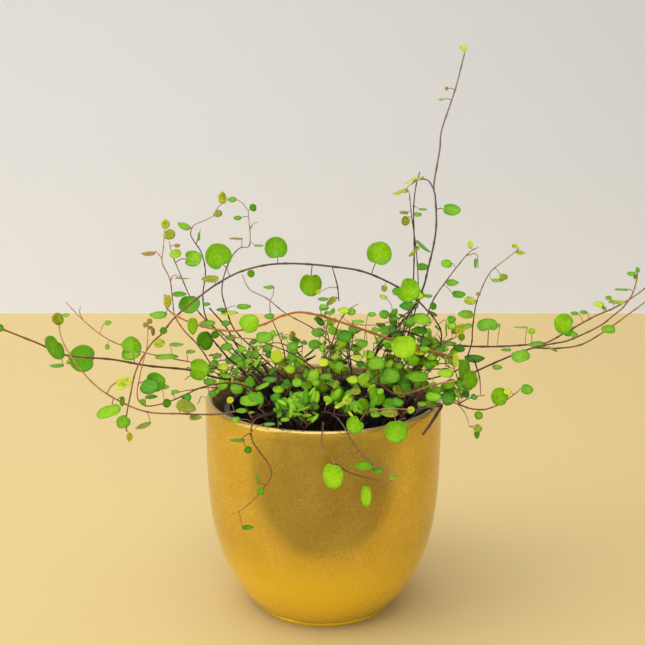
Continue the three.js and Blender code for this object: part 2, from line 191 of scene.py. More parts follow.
@dataclass(frozen=True)
class GoldGlaze:
    """Fired stoneware with a gold lustre glaze: metallic, a little orange-peeled, with fine flecks."""

    name: str = "gold_lustre_glaze_fired"
    body: str = "#DAB33E"
    bright: str = "#E6C34C"
    # painted reflection: the bright table mirrored in the lower bowl, painted as a brighter, yellower glaze
    # colour
    foot: str = "#F0CE34"
    lip: str = "#C2A468"
    flecks: Stops = ((0.32, "#B9B0A0"), (0.5, "#E6E6E6"), (0.72, "#FFFFFF"))
    fleck_weight: float = 0.45
    fleck_mm: float = 1.0
    cloud_mm: float = 22.0
    peel_mm: float = 5.0
    peel_depth: float = 0.15
    foot_levels: tuple[float, float] = (62.0, 22.0)  # from where to where the painted reflection of the table brightens the glaze downwards
    lip_levels: tuple[float, float] = (128.4, 129.6)  # from where to where it pales upwards
    metallic: float = 0.68
    roughness: float = 0.25

    def banded(
        self,
        tree: bpy.types.NodeTree,
        level: bpy.types.NodeSocket,
        levels: tuple[float, float],
        under: bpy.types.NodeSocket,
        code: str,
    ) -> bpy.types.NodeSocket:
        """Blends a colour in between two levels.

        Args:
            tree: the node tree.
            level: the height of the surface.
            levels: where the blend starts and where it is full.
            under: the colour that it starts from.
            code: the colour that it ends in.

        Returns:
            The blended colour.
        """
        start, full = (height * MM for height in levels)
        share = add_node(
            tree,
            "MapRange",
            {"Value": level, "From Min": start, "From Max": full, "To Min": 0.0, "To Max": 1.0},
            interpolation_type="SMOOTHSTEP",
        )
        colours = {FACTOR: share.outputs[0], FIRST: under, SECOND: linear(code)}
        return add_node(tree, "Mix", colours, data_type="RGBA").outputs[MIXED]

    def material(self) -> bpy.types.Material:
        """Makes the glaze.

        Returns:
            A material whose flecks and clouding stay on the pot, with a painted reflection of the bright
            table that brightens it towards the foot, and which pales where it thins over the lip.
        """
        material, tree, shader = new_material(self.name)
        place = add_node(tree, "TexCoord").outputs["Object"]
        clouds = add_node(tree, "TexNoise", {"Vector": place, "Scale": per_mm(self.cloud_mm), "Detail": 3.0})
        flecks = add_node(tree, "TexNoise", {"Vector": place, "Scale": per_mm(self.fleck_mm), "Detail": 1.0})
        peel = add_node(tree, "TexNoise", {"Vector": place, "Scale": per_mm(self.peel_mm), "Detail": 2.0})
        tone = add_node(tree, "ValToRGB", {"Fac": clouds.outputs["Fac"]})
        set_ramp(tone, ((0.3, self.body), (0.7, self.bright)))
        spark = add_node(tree, "ValToRGB", {"Fac": flecks.outputs["Fac"]})
        set_ramp(spark, self.flecks)
        speckled = add_node(
            tree,
            "Mix",
            {FACTOR: self.fleck_weight, FIRST: tone.outputs["Color"], SECOND: spark.outputs["Color"]},
            data_type="RGBA",
            blend_type="MULTIPLY",
        ).outputs[MIXED]
        level = add_node(tree, "SeparateXYZ", {"Vector": place}).outputs["Z"]
        # painted reflection of the bright table, blended in towards the foot
        table_reflection_painted = self.banded(tree, level, self.foot_levels, speckled, self.foot)
        colour = self.banded(tree, level, self.lip_levels, table_reflection_painted, self.lip)
        cloudy = {"Value": clouds.outputs["Fac"], "From Min": 0.3, "From Max": 0.7}
        span = {"To Min": self.roughness - 0.04, "To Max": self.roughness + 0.06}
        roughness = add_node(tree, "MapRange", {**cloudy, **span})
        relief = {"Height": peel.outputs["Fac"], "Strength": 0.15, "Distance": self.peel_depth * MM}
        bump = add_node(tree, "Bump", relief)
        feed(tree, shader, {"Base Color": colour, "Roughness": roughness.outputs[0]})
        feed(tree, shader, {"Normal": bump.outputs[0], "Metallic": self.metallic})
        return material


@dataclass(frozen=True)
class BlackPolypropylene:
    """Thermoformed nursery pot: near black, greyish where light rakes it, with faint scuffs."""

    body: str = "#0E1012"
    scuff: str = "#24282B"
    scuff_mm: float = 5.0
    scuff_depth: float = 0.1
    roughness: float = 0.42

    def material(self) -> bpy.types.Material:
        """Makes the plastic.

        Returns:
            A material with soft grey scuffs and a satin sheen.
        """
        material, tree, shader = new_material("polypropylene_thermoformed_black")
        place = add_node(tree, "TexCoord").outputs["Object"]
        scuffs = add_node(tree, "TexNoise", {"Vector": place, "Scale": per_mm(self.scuff_mm), "Detail": 8.0})
        tone = add_node(tree, "ValToRGB", {"Fac": scuffs.outputs["Fac"]})
        set_ramp(tone, ((0.45, self.body), (0.75, self.scuff)))
        relief = {"Height": scuffs.outputs["Fac"], "Strength": 0.2, "Distance": self.scuff_depth * MM}
        bump = add_node(tree, "Bump", relief)
        feed(tree, shader, {"Base Color": tone.outputs["Color"], "Normal": bump.outputs[0]})
        feed(tree, shader, {"Roughness": self.roughness})
        return material


@dataclass(frozen=True)
class PottingMix:
    """Peat and bark mix, damp: nearly black with brown crumbs."""

    dark: str = "#070504"
    mid: str = "#17100B"
    pale: str = "#3A2A1D"
    crumb_mm: float = 1.5
    crumb_depth: float = 0.7
    roughness: float = 0.95
    specular: float = 0.12

    def material(self) -> bpy.types.Material:
        """Makes the mix.

        Returns:
            A matt material with crumb-sized colour and relief.
        """
        material, tree, shader = new_material("potting_mix_peat_and_bark")
        place = add_node(tree, "TexCoord").outputs["Object"]
        grain = {"Vector": place, "Scale": per_mm(self.crumb_mm), "Detail": 6.0, "Roughness": 0.65}
        crumbs = add_node(tree, "TexNoise", grain)
        tone = add_node(tree, "ValToRGB", {"Fac": crumbs.outputs["Fac"]})
        set_ramp(tone, ((0.35, self.dark), (0.58, self.mid), (0.8, self.pale)))
        relief = {"Height": crumbs.outputs["Fac"], "Strength": 0.9, "Distance": self.crumb_depth * MM}
        bump = add_node(tree, "Bump", relief)
        feed(tree, shader, {"Base Color": tone.outputs["Color"], "Normal": bump.outputs[0]})
        feed(tree, shader, {"Roughness": self.roughness, "Specular IOR Level": self.specular})
        return material


@dataclass(frozen=True)
class Stem:
    """Bark of a wiry runner, which goes from its root colour to its tip colour as "age" runs 0 to 1."""

    name: str
    stops: Stops
    streak_mm: float = 1.3
    streak_depth: float = 0.15
    swing: float = 0.12  # how far the mottling shifts the age
    roughness: float = 0.5

    def material(self) -> bpy.types.Material:
        """Makes the bark.

        Returns:
            A satin material with fine mottling, coloured by the piece's "age" attribute.
        """
        material, tree, shader = new_material(self.name)
        place = add_node(tree, "TexCoord").outputs["Object"]
        mottle = add_node(tree, "TexNoise", {"Vector": place, "Scale": per_mm(self.streak_mm), "Detail": 4.0})
        tone = aged_tone(tree, mottle, self.swing, self.stops)
        relief = {"Height": mottle.outputs["Fac"], "Strength": 0.4, "Distance": self.streak_depth * MM}
        bump = add_node(tree, "Bump", relief)
        feed(tree, shader, {"Base Color": tone, "Normal": bump.outputs[0], "Roughness": self.roughness})
        return material


@dataclass(frozen=True)
class LeafFlesh:
    """Living leaf: waxy, thin enough for light to glow in it, and coloured by "age" from 0 to 1."""

    name: str
    stops: Stops
    vein: str
    vein_weight: float
    roughness: float
    mottle_mm: float = 1.8
    swing: float = 0.07  # how far the mottling shifts the age
    midrib: float = 0.035  # half its width, as a share of the blade's
    vein_slant: float = 0.9
    vein_pitch: float = -26.0  # how closely the side veins follow each other along the blade
    vein_height: float = -0.12
    specular: float = 0.22
    glow: float = 0.12  # how much light passes into the flesh
    glow_mm: float = 0.6

    def veins(self, tree: bpy.types.NodeTree, blade: bpy.types.NodeSocket) -> bpy.types.NodeSocket:
        """Draws the midrib and the side veins that slant from it.

        Args:
            tree: the node tree.
            blade: the blade's UV map.

        Returns:
            1 on the midrib, less on the side veins and 0 between them.
        """
        across = add_node(tree, "SeparateXYZ", {"Vector": blade})
        off_middle = add_node(tree, "Math", {0: across.outputs["X"], 1: 0.5}, operation="SUBTRACT")
        side = add_node(tree, "Math", {0: off_middle.outputs[0]}, operation="ABSOLUTE").outputs[0]
        midrib = add_node(
            tree,
            "MapRange",
            {"Value": side, "From Min": 0.0, "From Max": self.midrib, "To Min": 1.0, "To Max": 0.0},
            interpolation_type="SMOOTHSTEP",
        )
        slanted = {0: side, 1: self.vein_slant, 2: across.outputs["Y"]}
        slant = add_node(tree, "Math", slanted, operation="MULTIPLY_ADD")
        spread = add_node(tree, "Math", {0: slant.outputs[0], 1: self.vein_pitch}, operation="MULTIPLY")
        rows = add_node(tree, "Math", {0: spread.outputs[0]}, operation="SINE")
        side_veins = add_node(
            tree,
            "MapRange",
            {"Value": rows.outputs[0], "From Min": 0.86, "From Max": 1.0, "To Min": 0.0, "To Max": 0.35},
            interpolation_type="SMOOTHSTEP",
        )
        both = {0: midrib.outputs[0], 1: side_veins.outputs[0]}
        return add_node(tree, "Math", both, operation="MAXIMUM").outputs[0]

    def material(self) -> bpy.types.Material:
        """Makes the leaf.

        Returns:
            A material with a pale midrib and side veins that follow the blade's UV map.
        """
        material, tree, shader = new_material(self.name)
        place = add_node(tree, "TexCoord")
        spots = {"Vector": place.outputs["Object"], "Scale": per_mm(self.mottle_mm), "Detail": 3.0}
        tone = aged_tone(tree, add_node(tree, "TexNoise", spots), self.swing, self.stops)
        veins = self.veins(tree, place.outputs["UV"])
        weight = add_node(tree, "Math", {0: veins, 1: self.vein_weight}, operation="MULTIPLY")
        veined = {FACTOR: weight.outputs[0], FIRST: tone, SECOND: linear(self.vein)}
        colour = add_node(tree, "Mix", veined, data_type="RGBA")
        relief = {"Height": veins, "Strength": 0.35, "Distance": self.vein_height * MM}
        bump = add_node(tree, "Bump", relief)
        feed(tree, shader, {"Base Color": colour.outputs[MIXED], "Normal": bump.outputs[0]})
        feed(tree, shader, {"Roughness": self.roughness, "Specular IOR Level": self.specular})
        feed(tree, shader, {"Subsurface Weight": self.glow, "Subsurface Radius": (0.5, 1.0, 0.15)})
        feed(tree, shader, {"Subsurface Scale": self.glow_mm * MM})
        return material


Finish = GoldGlaze | BlackPolypropylene | PottingMix | Stem | LeafFlesh


@cache
def made(finish: Finish) -> bpy.types.Material:
    """Returns a finish's material, which is made the first time it is asked for."""
    return finish.material()


GLAZE = GoldGlaze()
# painted light: a lighter, less metallic copy of the glaze that brightens the shaded inside of the bowl
GLAZE_INSIDE = GoldGlaze("gold_glaze_thin_inside", "#B89A58", "#CDB06C", metallic=0.25, roughness=0.5)
# painted shade: a dark brown copy of the glaze for the groove above the foot ring, where shade falls
GLAZE_GROOVE = GoldGlaze(
    "gold_glaze_broken_groove", "#5E470F", "#6A5012", foot="#5E470F", metallic=0.3, roughness=0.5
)
PLASTIC = BlackPolypropylene()
MIX = PottingMix()

BARKS = {
    "old": Stem(
        "bark_of_old_runner_grown",
        ((0.0, "#2C1C16"), (0.3, "#4A3426"), (0.6, "#6C4A28"), (0.9, "#966A30"), (1.0, "#AC8640")),
    ),
    "grey": Stem(
        "bark_of_upright_leader_grown",
        ((0.0, "#2E211E"), (0.3, "#4A3C38"), (0.6, "#5E5048"), (0.9, "#7A6C64"), (1.0, "#8A7A60")),
    ),
    "young": Stem(
        "bark_of_young_runner_grown",
        ((0.0, "#2E1C1A"), (0.3, "#4C312C"), (0.6, "#6E483A"), (0.85, "#99694A"), (1.0, "#B1925C")),
    ),
    "flushed": Stem(
        "bark_of_sunlit_runner_grown",
        ((0.0, "#4E2A22"), (0.2, "#7C4228"), (0.45, "#A7622A"), (0.75, "#AC6A30"), (1.0, "#B4905A")),
    ),
    "arched": Stem(
        "bark_of_arching_runner_grown",
        (
            (0.0, "#2E1F1D"),
            (0.3, "#4B3C38"),
            (0.55, "#5F483F"),
            (0.7, "#7E5032"),
            (0.85, "#8C5626"),
            (1.0, "#8E5A1C"),
        ),
    ),
    "rusty": Stem(
        "bark_of_rusty_runner_grown",
        ((0.0, "#3C241E"), (0.3, "#6E4030"), (0.6, "#9C5F3E"), (0.85, "#AE744A"), (1.0, "#B8935A")),
    ),
    "tan": Stem(
        "bark_of_shaded_runner_grown",
        ((0.0, "#4A2F2A"), (0.3, "#74503A"), (0.55, "#A87A4E"), (0.8, "#C08E58"), (1.0, "#B5A058")),
    ),
}

LEAF_TOP = LeafFlesh(
    "leaf_upper_side_waxy",
    (
        (0.0, "#2C6600"),
        (0.15, "#458C00"),
        (0.35, "#5E9900"),
        (0.48, "#7CB002"),
        (0.58, "#8CBF0C"),
        (0.68, "#A8CA20"),
        (0.78, "#C6C32C"),
        (0.86, "#93A21A"),
        (0.94, "#7A8412"),
        (1.0, "#97742A"),
    ),
    vein="#B6D840",
    vein_weight=0.2,
    roughness=0.42,
)
LEAF_BACK = LeafFlesh(
    "leaf_underside_matt",
    ((0.0, "#57842A"), (0.4, "#86AC2E"), (0.7, "#B3C43A"), (0.93, "#98923A"), (1.0, "#94744A")),
    vein="#C2CE7C",
    vein_weight=0.3,
    roughness=0.6,
)
STALK = Stem("leaf_stalk_grown", ((0.0, "#6A3A2C"), (0.5, "#8C5A36"), (1.0, "#7E9A34")), streak_mm=2.5)
LEAF_FINISHES = (LEAF_TOP, LEAF_BACK, STALK)


def make_piece(
    bm: bmesh.types.BMesh,
    name: str,
    finishes: Sequence[Finish],
    replaces: Sequence[str] = (),
    smooth: bool = True,
) -> bpy.types.Object:
    """Turns a mesh in millimetres into a finished piece of the object.

    Args:
        bm: the mesh, which is freed.
        name: the piece's name.
        finishes: its finishes, in the order of its faces' indices.
        replaces: the CAD nodes that it stands for.
        smooth: whether it is shaded smooth.

    Returns:
        The piece, riding on the pot.
    """
    bmesh.ops.scale(bm, vec=(MM, MM, MM), verts=bm.verts)
    mesh = bpy.data.meshes.new(name)
    bm.to_mesh(mesh)
    bm.free()
    for finish in finishes:
        mesh.materials.append(made(finish))
    mesh.polygons.foreach_set("use_smooth", [smooth] * len(mesh.polygons))
    piece = bpy.data.objects.new(name, mesh)
    bpy.context.scene.collection.objects.link(piece)
    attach(piece, "root")
    if replaces:
        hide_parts(*replaces)
    log.info("%s: %d faces", name, len(mesh.polygons))
    return piece


def smooth_route(places: Sequence[Sequence[float]], per_span: int = 8) -> list[Vector]:
    """Draws the smooth line through some places.

    Args:
        places: the places, in order.
        per_span: how many samples lie between two of them.

    Returns:
        The samples, a uniform Catmull-Rom curve.
    """
    knots = [Vector(p) for p in places]
    ends = [2 * knots[0] - knots[1], *knots, 2 * knots[-1] - knots[-2]]
    line = []
    for i in range(1, len(ends) - 2):
        a, b, c, d = ends[i - 1 : i + 3]
        for step in range(per_span):
            t = step / per_span
            bend = (2 * a - 5 * b + 4 * c - d) + t * (3 * (b - c) + d - a)
            line.append(b + 0.5 * t * ((c - a) + t * bend))
    line.append(knots[-1])
    return line


def sweep(paths: Iterable[Path], sides: int = 2) -> bmesh.types.BMesh:
    """Sweeps round stems along paths.

    Args:
        paths: for each stem, its places and its radius at each.
        sides: how round it is, as a curve's bevel resolution.

    Returns:
        The closed stems, in one mesh.
    """
    curve = bpy.data.curves.new("sweep", "CURVE")
    curve.dimensions = "3D"
    curve.bevel_depth = 1.0
    curve.bevel_resolution = sides
    curve.use_fill_caps = True
    for path in paths:
        spline = curve.splines.new("POLY")
        spline.points.add(len(path) - 1)
        for point, (place, radius) in zip(spline.points, path):
            point.co = (*place, 1.0)
            point.radius = radius
    holder = bpy.data.objects.new("sweep", curve)
    mesh = bpy.data.meshes.new_from_object(holder)
    bm = bmesh.new()
    bm.from_mesh(mesh)
    bmesh.ops.remove_doubles(bm, verts=bm.verts, dist=0.002)
    bmesh.ops.recalc_face_normals(bm, faces=bm.faces)
    bpy.data.objects.remove(holder)
    bpy.data.curves.remove(curve)
    bpy.data.meshes.remove(mesh)
    return bm


def add_to(bm: bmesh.types.BMesh, other: bmesh.types.BMesh) -> None:
    """Adds another mesh to bm, and frees the other."""
    mesh = bpy.data.meshes.new("part")
    other.to_mesh(mesh)
    other.free()
    bm.from_mesh(mesh)
    bpy.data.meshes.remove(mesh)


def lathe(profile: Sequence[tuple[float, float]], steps: int) -> bmesh.types.BMesh:
    """Spins a closed outline round the middle.

    Args:
        profile: (radius, level) of each corner; it starts and ends on the axis, or closes on itself.
        steps: how many sides the turned piece has.

    Returns:
        The closed piece.
    """
    bm = bmesh.new()
    corners = [bm.verts.new((radius, 0.0, level)) for radius, level in profile]
    edges = [bm.edges.new(pair) for pair in zip(corners, corners[1:])]
    if profile[0][0] > 0:
        edges.append(bm.edges.new((corners[-1], corners[0])))
    bmesh.ops.spin(
        bm,
        geom=corners + edges,
        cent=(0, 0, 0),
        axis=(0, 0, 1),
        dvec=(0, 0, 0),
        angle=2 * math.pi,
        steps=steps,
        use_merge=True,
        use_duplicate=False,
    )
    bmesh.ops.remove_doubles(bm, verts=bm.verts, dist=1e-4)
    bmesh.ops.recalc_face_normals(bm, faces=bm.faces)
    return bm


@dataclass
class CoverPot:
    """The gold glazed cover pot: a swelling bowl on a low foot ring, with a rounded lip."""

    rim_radius: float = 70.0
    height: float = 130.0
    wall: float = 4.2
    shoulder_radius: float = 43.5
    fullness: float = 4.2
    foot_radius: float = 42.0
    foot_height: float = 3.0
    foot_ring_width: float = 7.0
    foot_recess: float = 1.5
    floor_level: float = 6.0
    ring_edge: float = 0.8  # how wide the foot ring's worn edges are
    levels: int = 40
    lip_steps: int = 9
    steps: int = 160
    inside_glaze_depth: float = 0.6  # how far inside the lip's crown the lighter inside glaze starts; it is painted light for the shaded bowl
    groove: tuple[float, float] = (-0.5, 0.6)  # where the turned groove lies, beside the foot's top; its faces get painted shade

    def radius_at(self, level: float) -> float:
        """Gives the outside radius.

        Args:
            level: height above the foot.

        Returns:
            The bowl's radius there.
        """
        rise = (level - self.foot_height) / (self.height - self.foot_height)
        swell = self.rim_radius - self.shoulder_radius
        return self.rim_radius - swell * max(0.0, 1 - rise) ** self.fullness

    def foot_outline(self) -> list[tuple[float, float]]:
        """Returns the foot ring's outline, from the axis out to the groove under the bowl."""
        inner = self.foot_radius - self.foot_ring_width
        outer, top = self.foot_radius, self.foot_height
        return [
            (0.0, self.foot_recess),
            (inner - self.ring_edge, self.foot_recess),
            (inner, 0.5),
            (inner + self.ring_edge, 0.0),
            (outer - self.ring_edge, 0.0),
            (outer - 0.2, 0.25),
            (outer, 0.9),
            (outer, top - 0.7),
            (outer - 0.3, top - 0.3),
            (outer - 1.1, top - 0.1),
            (outer - 0.9, top + 0.3),
            (outer + 0.4, top + 0.5),
        ]

    def outline(self) -> list[tuple[float, float]]:
        """Draws the pot's section.

        Returns:
            (radius, level) of each corner: the foot, the outside, the lip, the inside and the floor.
        """
        half_wall = self.wall / 2
        top = self.height - half_wall
        start = self.foot_height + 0.7
        levels = [start + (top - start) * (i / self.levels) ** 1.25 for i in range(self.levels + 1)]
        outline = self.foot_outline() + [(self.radius_at(level), level) for level in levels]
        crown = self.radius_at(top) - half_wall
        for i in range(1, self.lip_steps):
            turn = math.pi * i / self.lip_steps
            outline.append((crown + half_wall * math.cos(turn), top + half_wall * math.sin(turn)))
        inside = [level for level in reversed(levels) if level > self.floor_level + 3]
        outline += [(self.radius_at(level) - self.wall, level) for level in inside]
        corner = self.radius_at(self.floor_level) - self.wall
        return outline + [
            (corner - 0.4, self.floor_level + 1.2),
            (corner - 2.2, self.floor_level),
            (0.0, self.floor_level),
        ]

    def build(self) -> bpy.types.Object:
        """Turns the pot.

        Returns:
            The glazed piece.
        """
        bm = lathe(self.outline(), self.steps)
        inset = self.wall / 2
        low, high = self.groove
        for face in bm.faces:
            middle = face.calc_center_median()
            skin = self.radius_at(middle.z) - inset - self.inside_glaze_depth
            inside = math.hypot(middle.x, middle.y) < skin
            # inside faces take the lighter glaze: painted light in the shaded bowl
            if inside and middle.z > self.floor_level - 1:
                face.material_index = 1
            # the groove's faces take the dark glaze: painted shade in the recess
            elif low < middle.z - self.foot_height < high:
                face.material_index = 2
        finishes = [GLAZE, GLAZE_INSIDE, GLAZE_GROOVE]
        return make_piece(bm, "glazed_cover_pot", finishes, ["cover_pot"])


@dataclass
class SoilBed:
    """Potting mix that fills the nursery pot, with a crumbly crowned top."""

    edge_level: float = 112.0
    crown: float = 4.0
    radius: float = 53.6
    bottom_radius: float = 41.0
    bottom_level: float = 96.0
    lumps_mm: float = 6.0
    grit_mm: float = 2.2
    relief: float = 1.1
    cells: int = 56
    crumbs: int = 260
    crumb_sizes: tuple[float, float] = (0.5, 1.9)
    seed: int = 7

    def top_at(self, x: float, y: float) -> float:
        """Gives the height of the mix.

        Args:
            x: place across.
            y: place in depth.

        Returns:
            Its level there.
        """
        out = min(1.0, math.hypot(x, y) / self.radius)
        lump = noise.noise(Vector((x, y, 3.0)) / self.lumps_mm)
        lump += 0.5 * noise.noise(Vector((x, y, 9.0)) / self.grit_mm)
        return self.edge_level + self.crown * (1 - out * out) + self.relief * lump * (1 - out**6)

    def build(self) -> bpy.types.Object:
        """Heaps the mix.

        Returns:
            The soil piece.
        """
        bm = bmesh.new()
        bmesh.ops.create_grid(bm, x_segments=self.cells, y_segments=self.cells, size=1.0)
        for vert in bm.verts:
            u, v, _ = vert.co
            x = u * math.sqrt(1 - v * v / 2) * self.radius
            y = v * math.sqrt(1 - u * u / 2) * self.radius
            vert.co = (x, y, self.top_at(x, y))
        lower = bmesh.ops.extrude_face_region(bm, geom=bm.faces[:])["geom"]
        shrink = self.bottom_radius / self.radius
        for vert in (v for v in lower if isinstance(v, bmesh.types.BMVert)):
            vert.co = (vert.co.x * shrink, vert.co.y * shrink, self.bottom_level)
        bmesh.ops.recalc_face_normals(bm, faces=bm.faces)
        self.strew(bm)
        return make_piece(bm, "potting_mix_bed", [MIX], ["potting_soil"], smooth=False)

    def strew(self, bm: bmesh.types.BMesh) -> None:
        """Strews loose crumbs over the mix, in the same mesh."""
        rng = random.Random(self.seed)
        for _ in range(self.crumbs):
            out = self.radius * 0.94 * math.sqrt(rng.random())
            turn = rng.uniform(0, 2 * math.pi)
            x, y = out * math.cos(turn), out * math.sin(turn)
            size = rng.uniform(*self.crumb_sizes)
            stretch = Matrix.Diagonal((1, rng.uniform(0.4, 0.9), rng.uniform(0.3, 0.7), 1))
            spin = Matrix.Rotation(rng.uniform(0, 6.3), 4, "Z")
            spin @= Matrix.Rotation(rng.uniform(-0.7, 0.7), 4, "X")
            place = Matrix.Translation((x, y, self.top_at(x, y) + 0.25 * size))
            bmesh.ops.create_icosphere(bm, subdivisions=1, radius=size, matrix=place @ spin @ stretch)


@dataclass
class Blade:
    """One leaf blade: nearly round, notched where its stalk joins, cupped and a little folded."""

    width: float
    length: float
    age: float
    cup: float = 0.12
    fold: float = 0.1
    wave: float = 0.03
    notch: float = 0.1
    phase: float = 0.0
    detail: int = 8
    thickness: float = 0.28
    point: float = 0.03
    notch_spread: float = 0.42  # how wide the notch is, in radians about the base
    point_spread: float = 0.35  # how wide the tip's point is, in the same way

    def mesh(self) -> bmesh.types.BMesh:
        """Shapes the blade, flat in XY with its tip towards +Y and its upper side towards +Z.

        Returns:
            The closed blade, with its "age" and UV layers.
        """
        bm = bmesh.new()
        bm.loops.layers.uv.new("leaf")
        bmesh.ops.create_grid(bm, x_segments=self.detail, y_segments=self.detail, size=1.0, calc_uvs=True)
        for vert in bm.verts:
            vert.co = self.shaped(vert.co.x, vert.co.y)
        top = bm.faces[:]
        bmesh.ops.solidify(bm, geom=top, thickness=self.thickness)
        upper = set(top)
        for face in bm.faces:
            face.material_index = 0 if face in upper else 1
        bmesh.ops.recalc_face_normals(bm, faces=bm.faces)
        if sum((f.normal.z * f.calc_area() for f in upper), 0.0) < 0:
            for face in bm.faces:
                face.material_index = 1 - face.material_index
        ages = bm.verts.layers.float.new("age")
        for vert in bm.verts:
            vert[ages] = self.age_at(vert.co)
        return bm

    def shaped(self, u: float, v: float) -> Place:
        """Shapes one corner of the blade.

        Args:
            u: its place across a square of side 2.
            v: its place along that square.

        Returns:
            Its place on the notched, cupped, folded and waved blade.
        """
        x = u * math.sqrt(1 - v * v / 2)
        y = v * math.sqrt(1 - u * u / 2)
        out = math.hypot(x, y)
        turn = math.atan2(x, y)
        from_base = math.pi - abs(turn)
        pull = 1 - self.notch * out * math.exp(-((from_base / self.notch_spread) ** 2)) * 2
        pull += self.point * math.exp(-((turn / self.point_spread) ** 2)) * out
        height = self.cup * out * out - self.fold * abs(x) * (1 - 0.3 * out)
        height += self.wave * math.sin(3 * turn + self.phase) * out * out
        return (x * pull * self.width / 2, y * pull * self.length / 2, height * self.width / 2)

    def age_at(self, place: Vector) -> float:
        """Returns the age at a place: a little older to the tip, and apart at the edge."""
        edge = math.hypot(place.x / self.width, place.y / self.length) * 2
        lie = place.y / self.length
        old = max(0.0, self.age - 0.7)
        return self.age + 0.04 + 0.08 * lie + (0.6 * old - 0.13) * edge**3


@dataclass
class Leaf:
    """A blade hung on a stem by its stalk."""

    middle: Vector
    on: Vector
    facing: Vector
    blade: Blade
    stem_radius: float
    stalk_radius: float = 0.24
    pointing: Vector | None = None

    def frame(self) -> tuple[Vector, Vector, Vector]:
        """Gives the blade's own directions.

        Returns:
            Across, along and facing, each one millimetre long.
        """
        along = self.pointing.copy() if self.pointing else self.middle - self.on
        along -= self.facing * along.dot(self.facing)
        if along.length < 0.3:
            upward = Vector((0.3, 0.0, 1.0))
            along = upward - self.facing * upward.dot(self.facing)
        along.normalize()
        return along.cross(self.facing), along, self.facing

    def add(self, bm: bmesh.types.BMesh) -> Path:
        """Adds the blade to a mesh.

        Args:
            bm: the mesh it joins.

        Returns:
            The stalk's path, to be swept with the others.
        """
        across, along, facing = self.frame()
        turn = Matrix((across, along, facing)).transposed().to_4x4()
        blade = self.blade.mesh()
        bmesh.ops.transform(blade, matrix=Matrix.Translation(self.middle) @ turn, verts=blade.verts)
        add_to(bm, blade)
        base = self.middle - along * self.blade.length * (0.5 - self.blade.notch * 0.8)
        reach = base - self.on
        start = self.on + reach.normalized() * self.stem_radius * 0.6
        bend = start.lerp(base, 0.5) + Vector((0, 0, 0.12 * reach.length))
        into = base + along * self.blade.length * 0.06
        knots = smooth_route([start, bend, base, into], 4)
        return [(place, self.stalk_radius) for place in knots]


def leaf_piece(leaves: Sequence[Leaf], name: str, replaces: Sequence[str] = ()) -> bpy.types.Object:
    """Makes one piece of some leaves and their stalks.

    Args:
        leaves: the leaves.
        name: the piece's name.
        replaces: the CAD nodes it stands for.

    Returns:
        The piece.
    """
    bm = bmesh.new()
    bm.loops.layers.uv.new("leaf")
    bm.verts.layers.float.new("age")
    stalks = sweep([leaf.add(bm) for leaf in leaves], 0)
    ages = stalks.verts.layers.float.new("age")
    for face in stalks.faces:
        face.material_index = 2
    for vert in stalks.verts:
        vert[ages] = 0.5
    add_to(bm, stalks)
    return make_piece(bm, name, LEAF_FINISHES, replaces)


NODE_GAPS = (9, 14)  # how far apart a stem's swollen nodes are


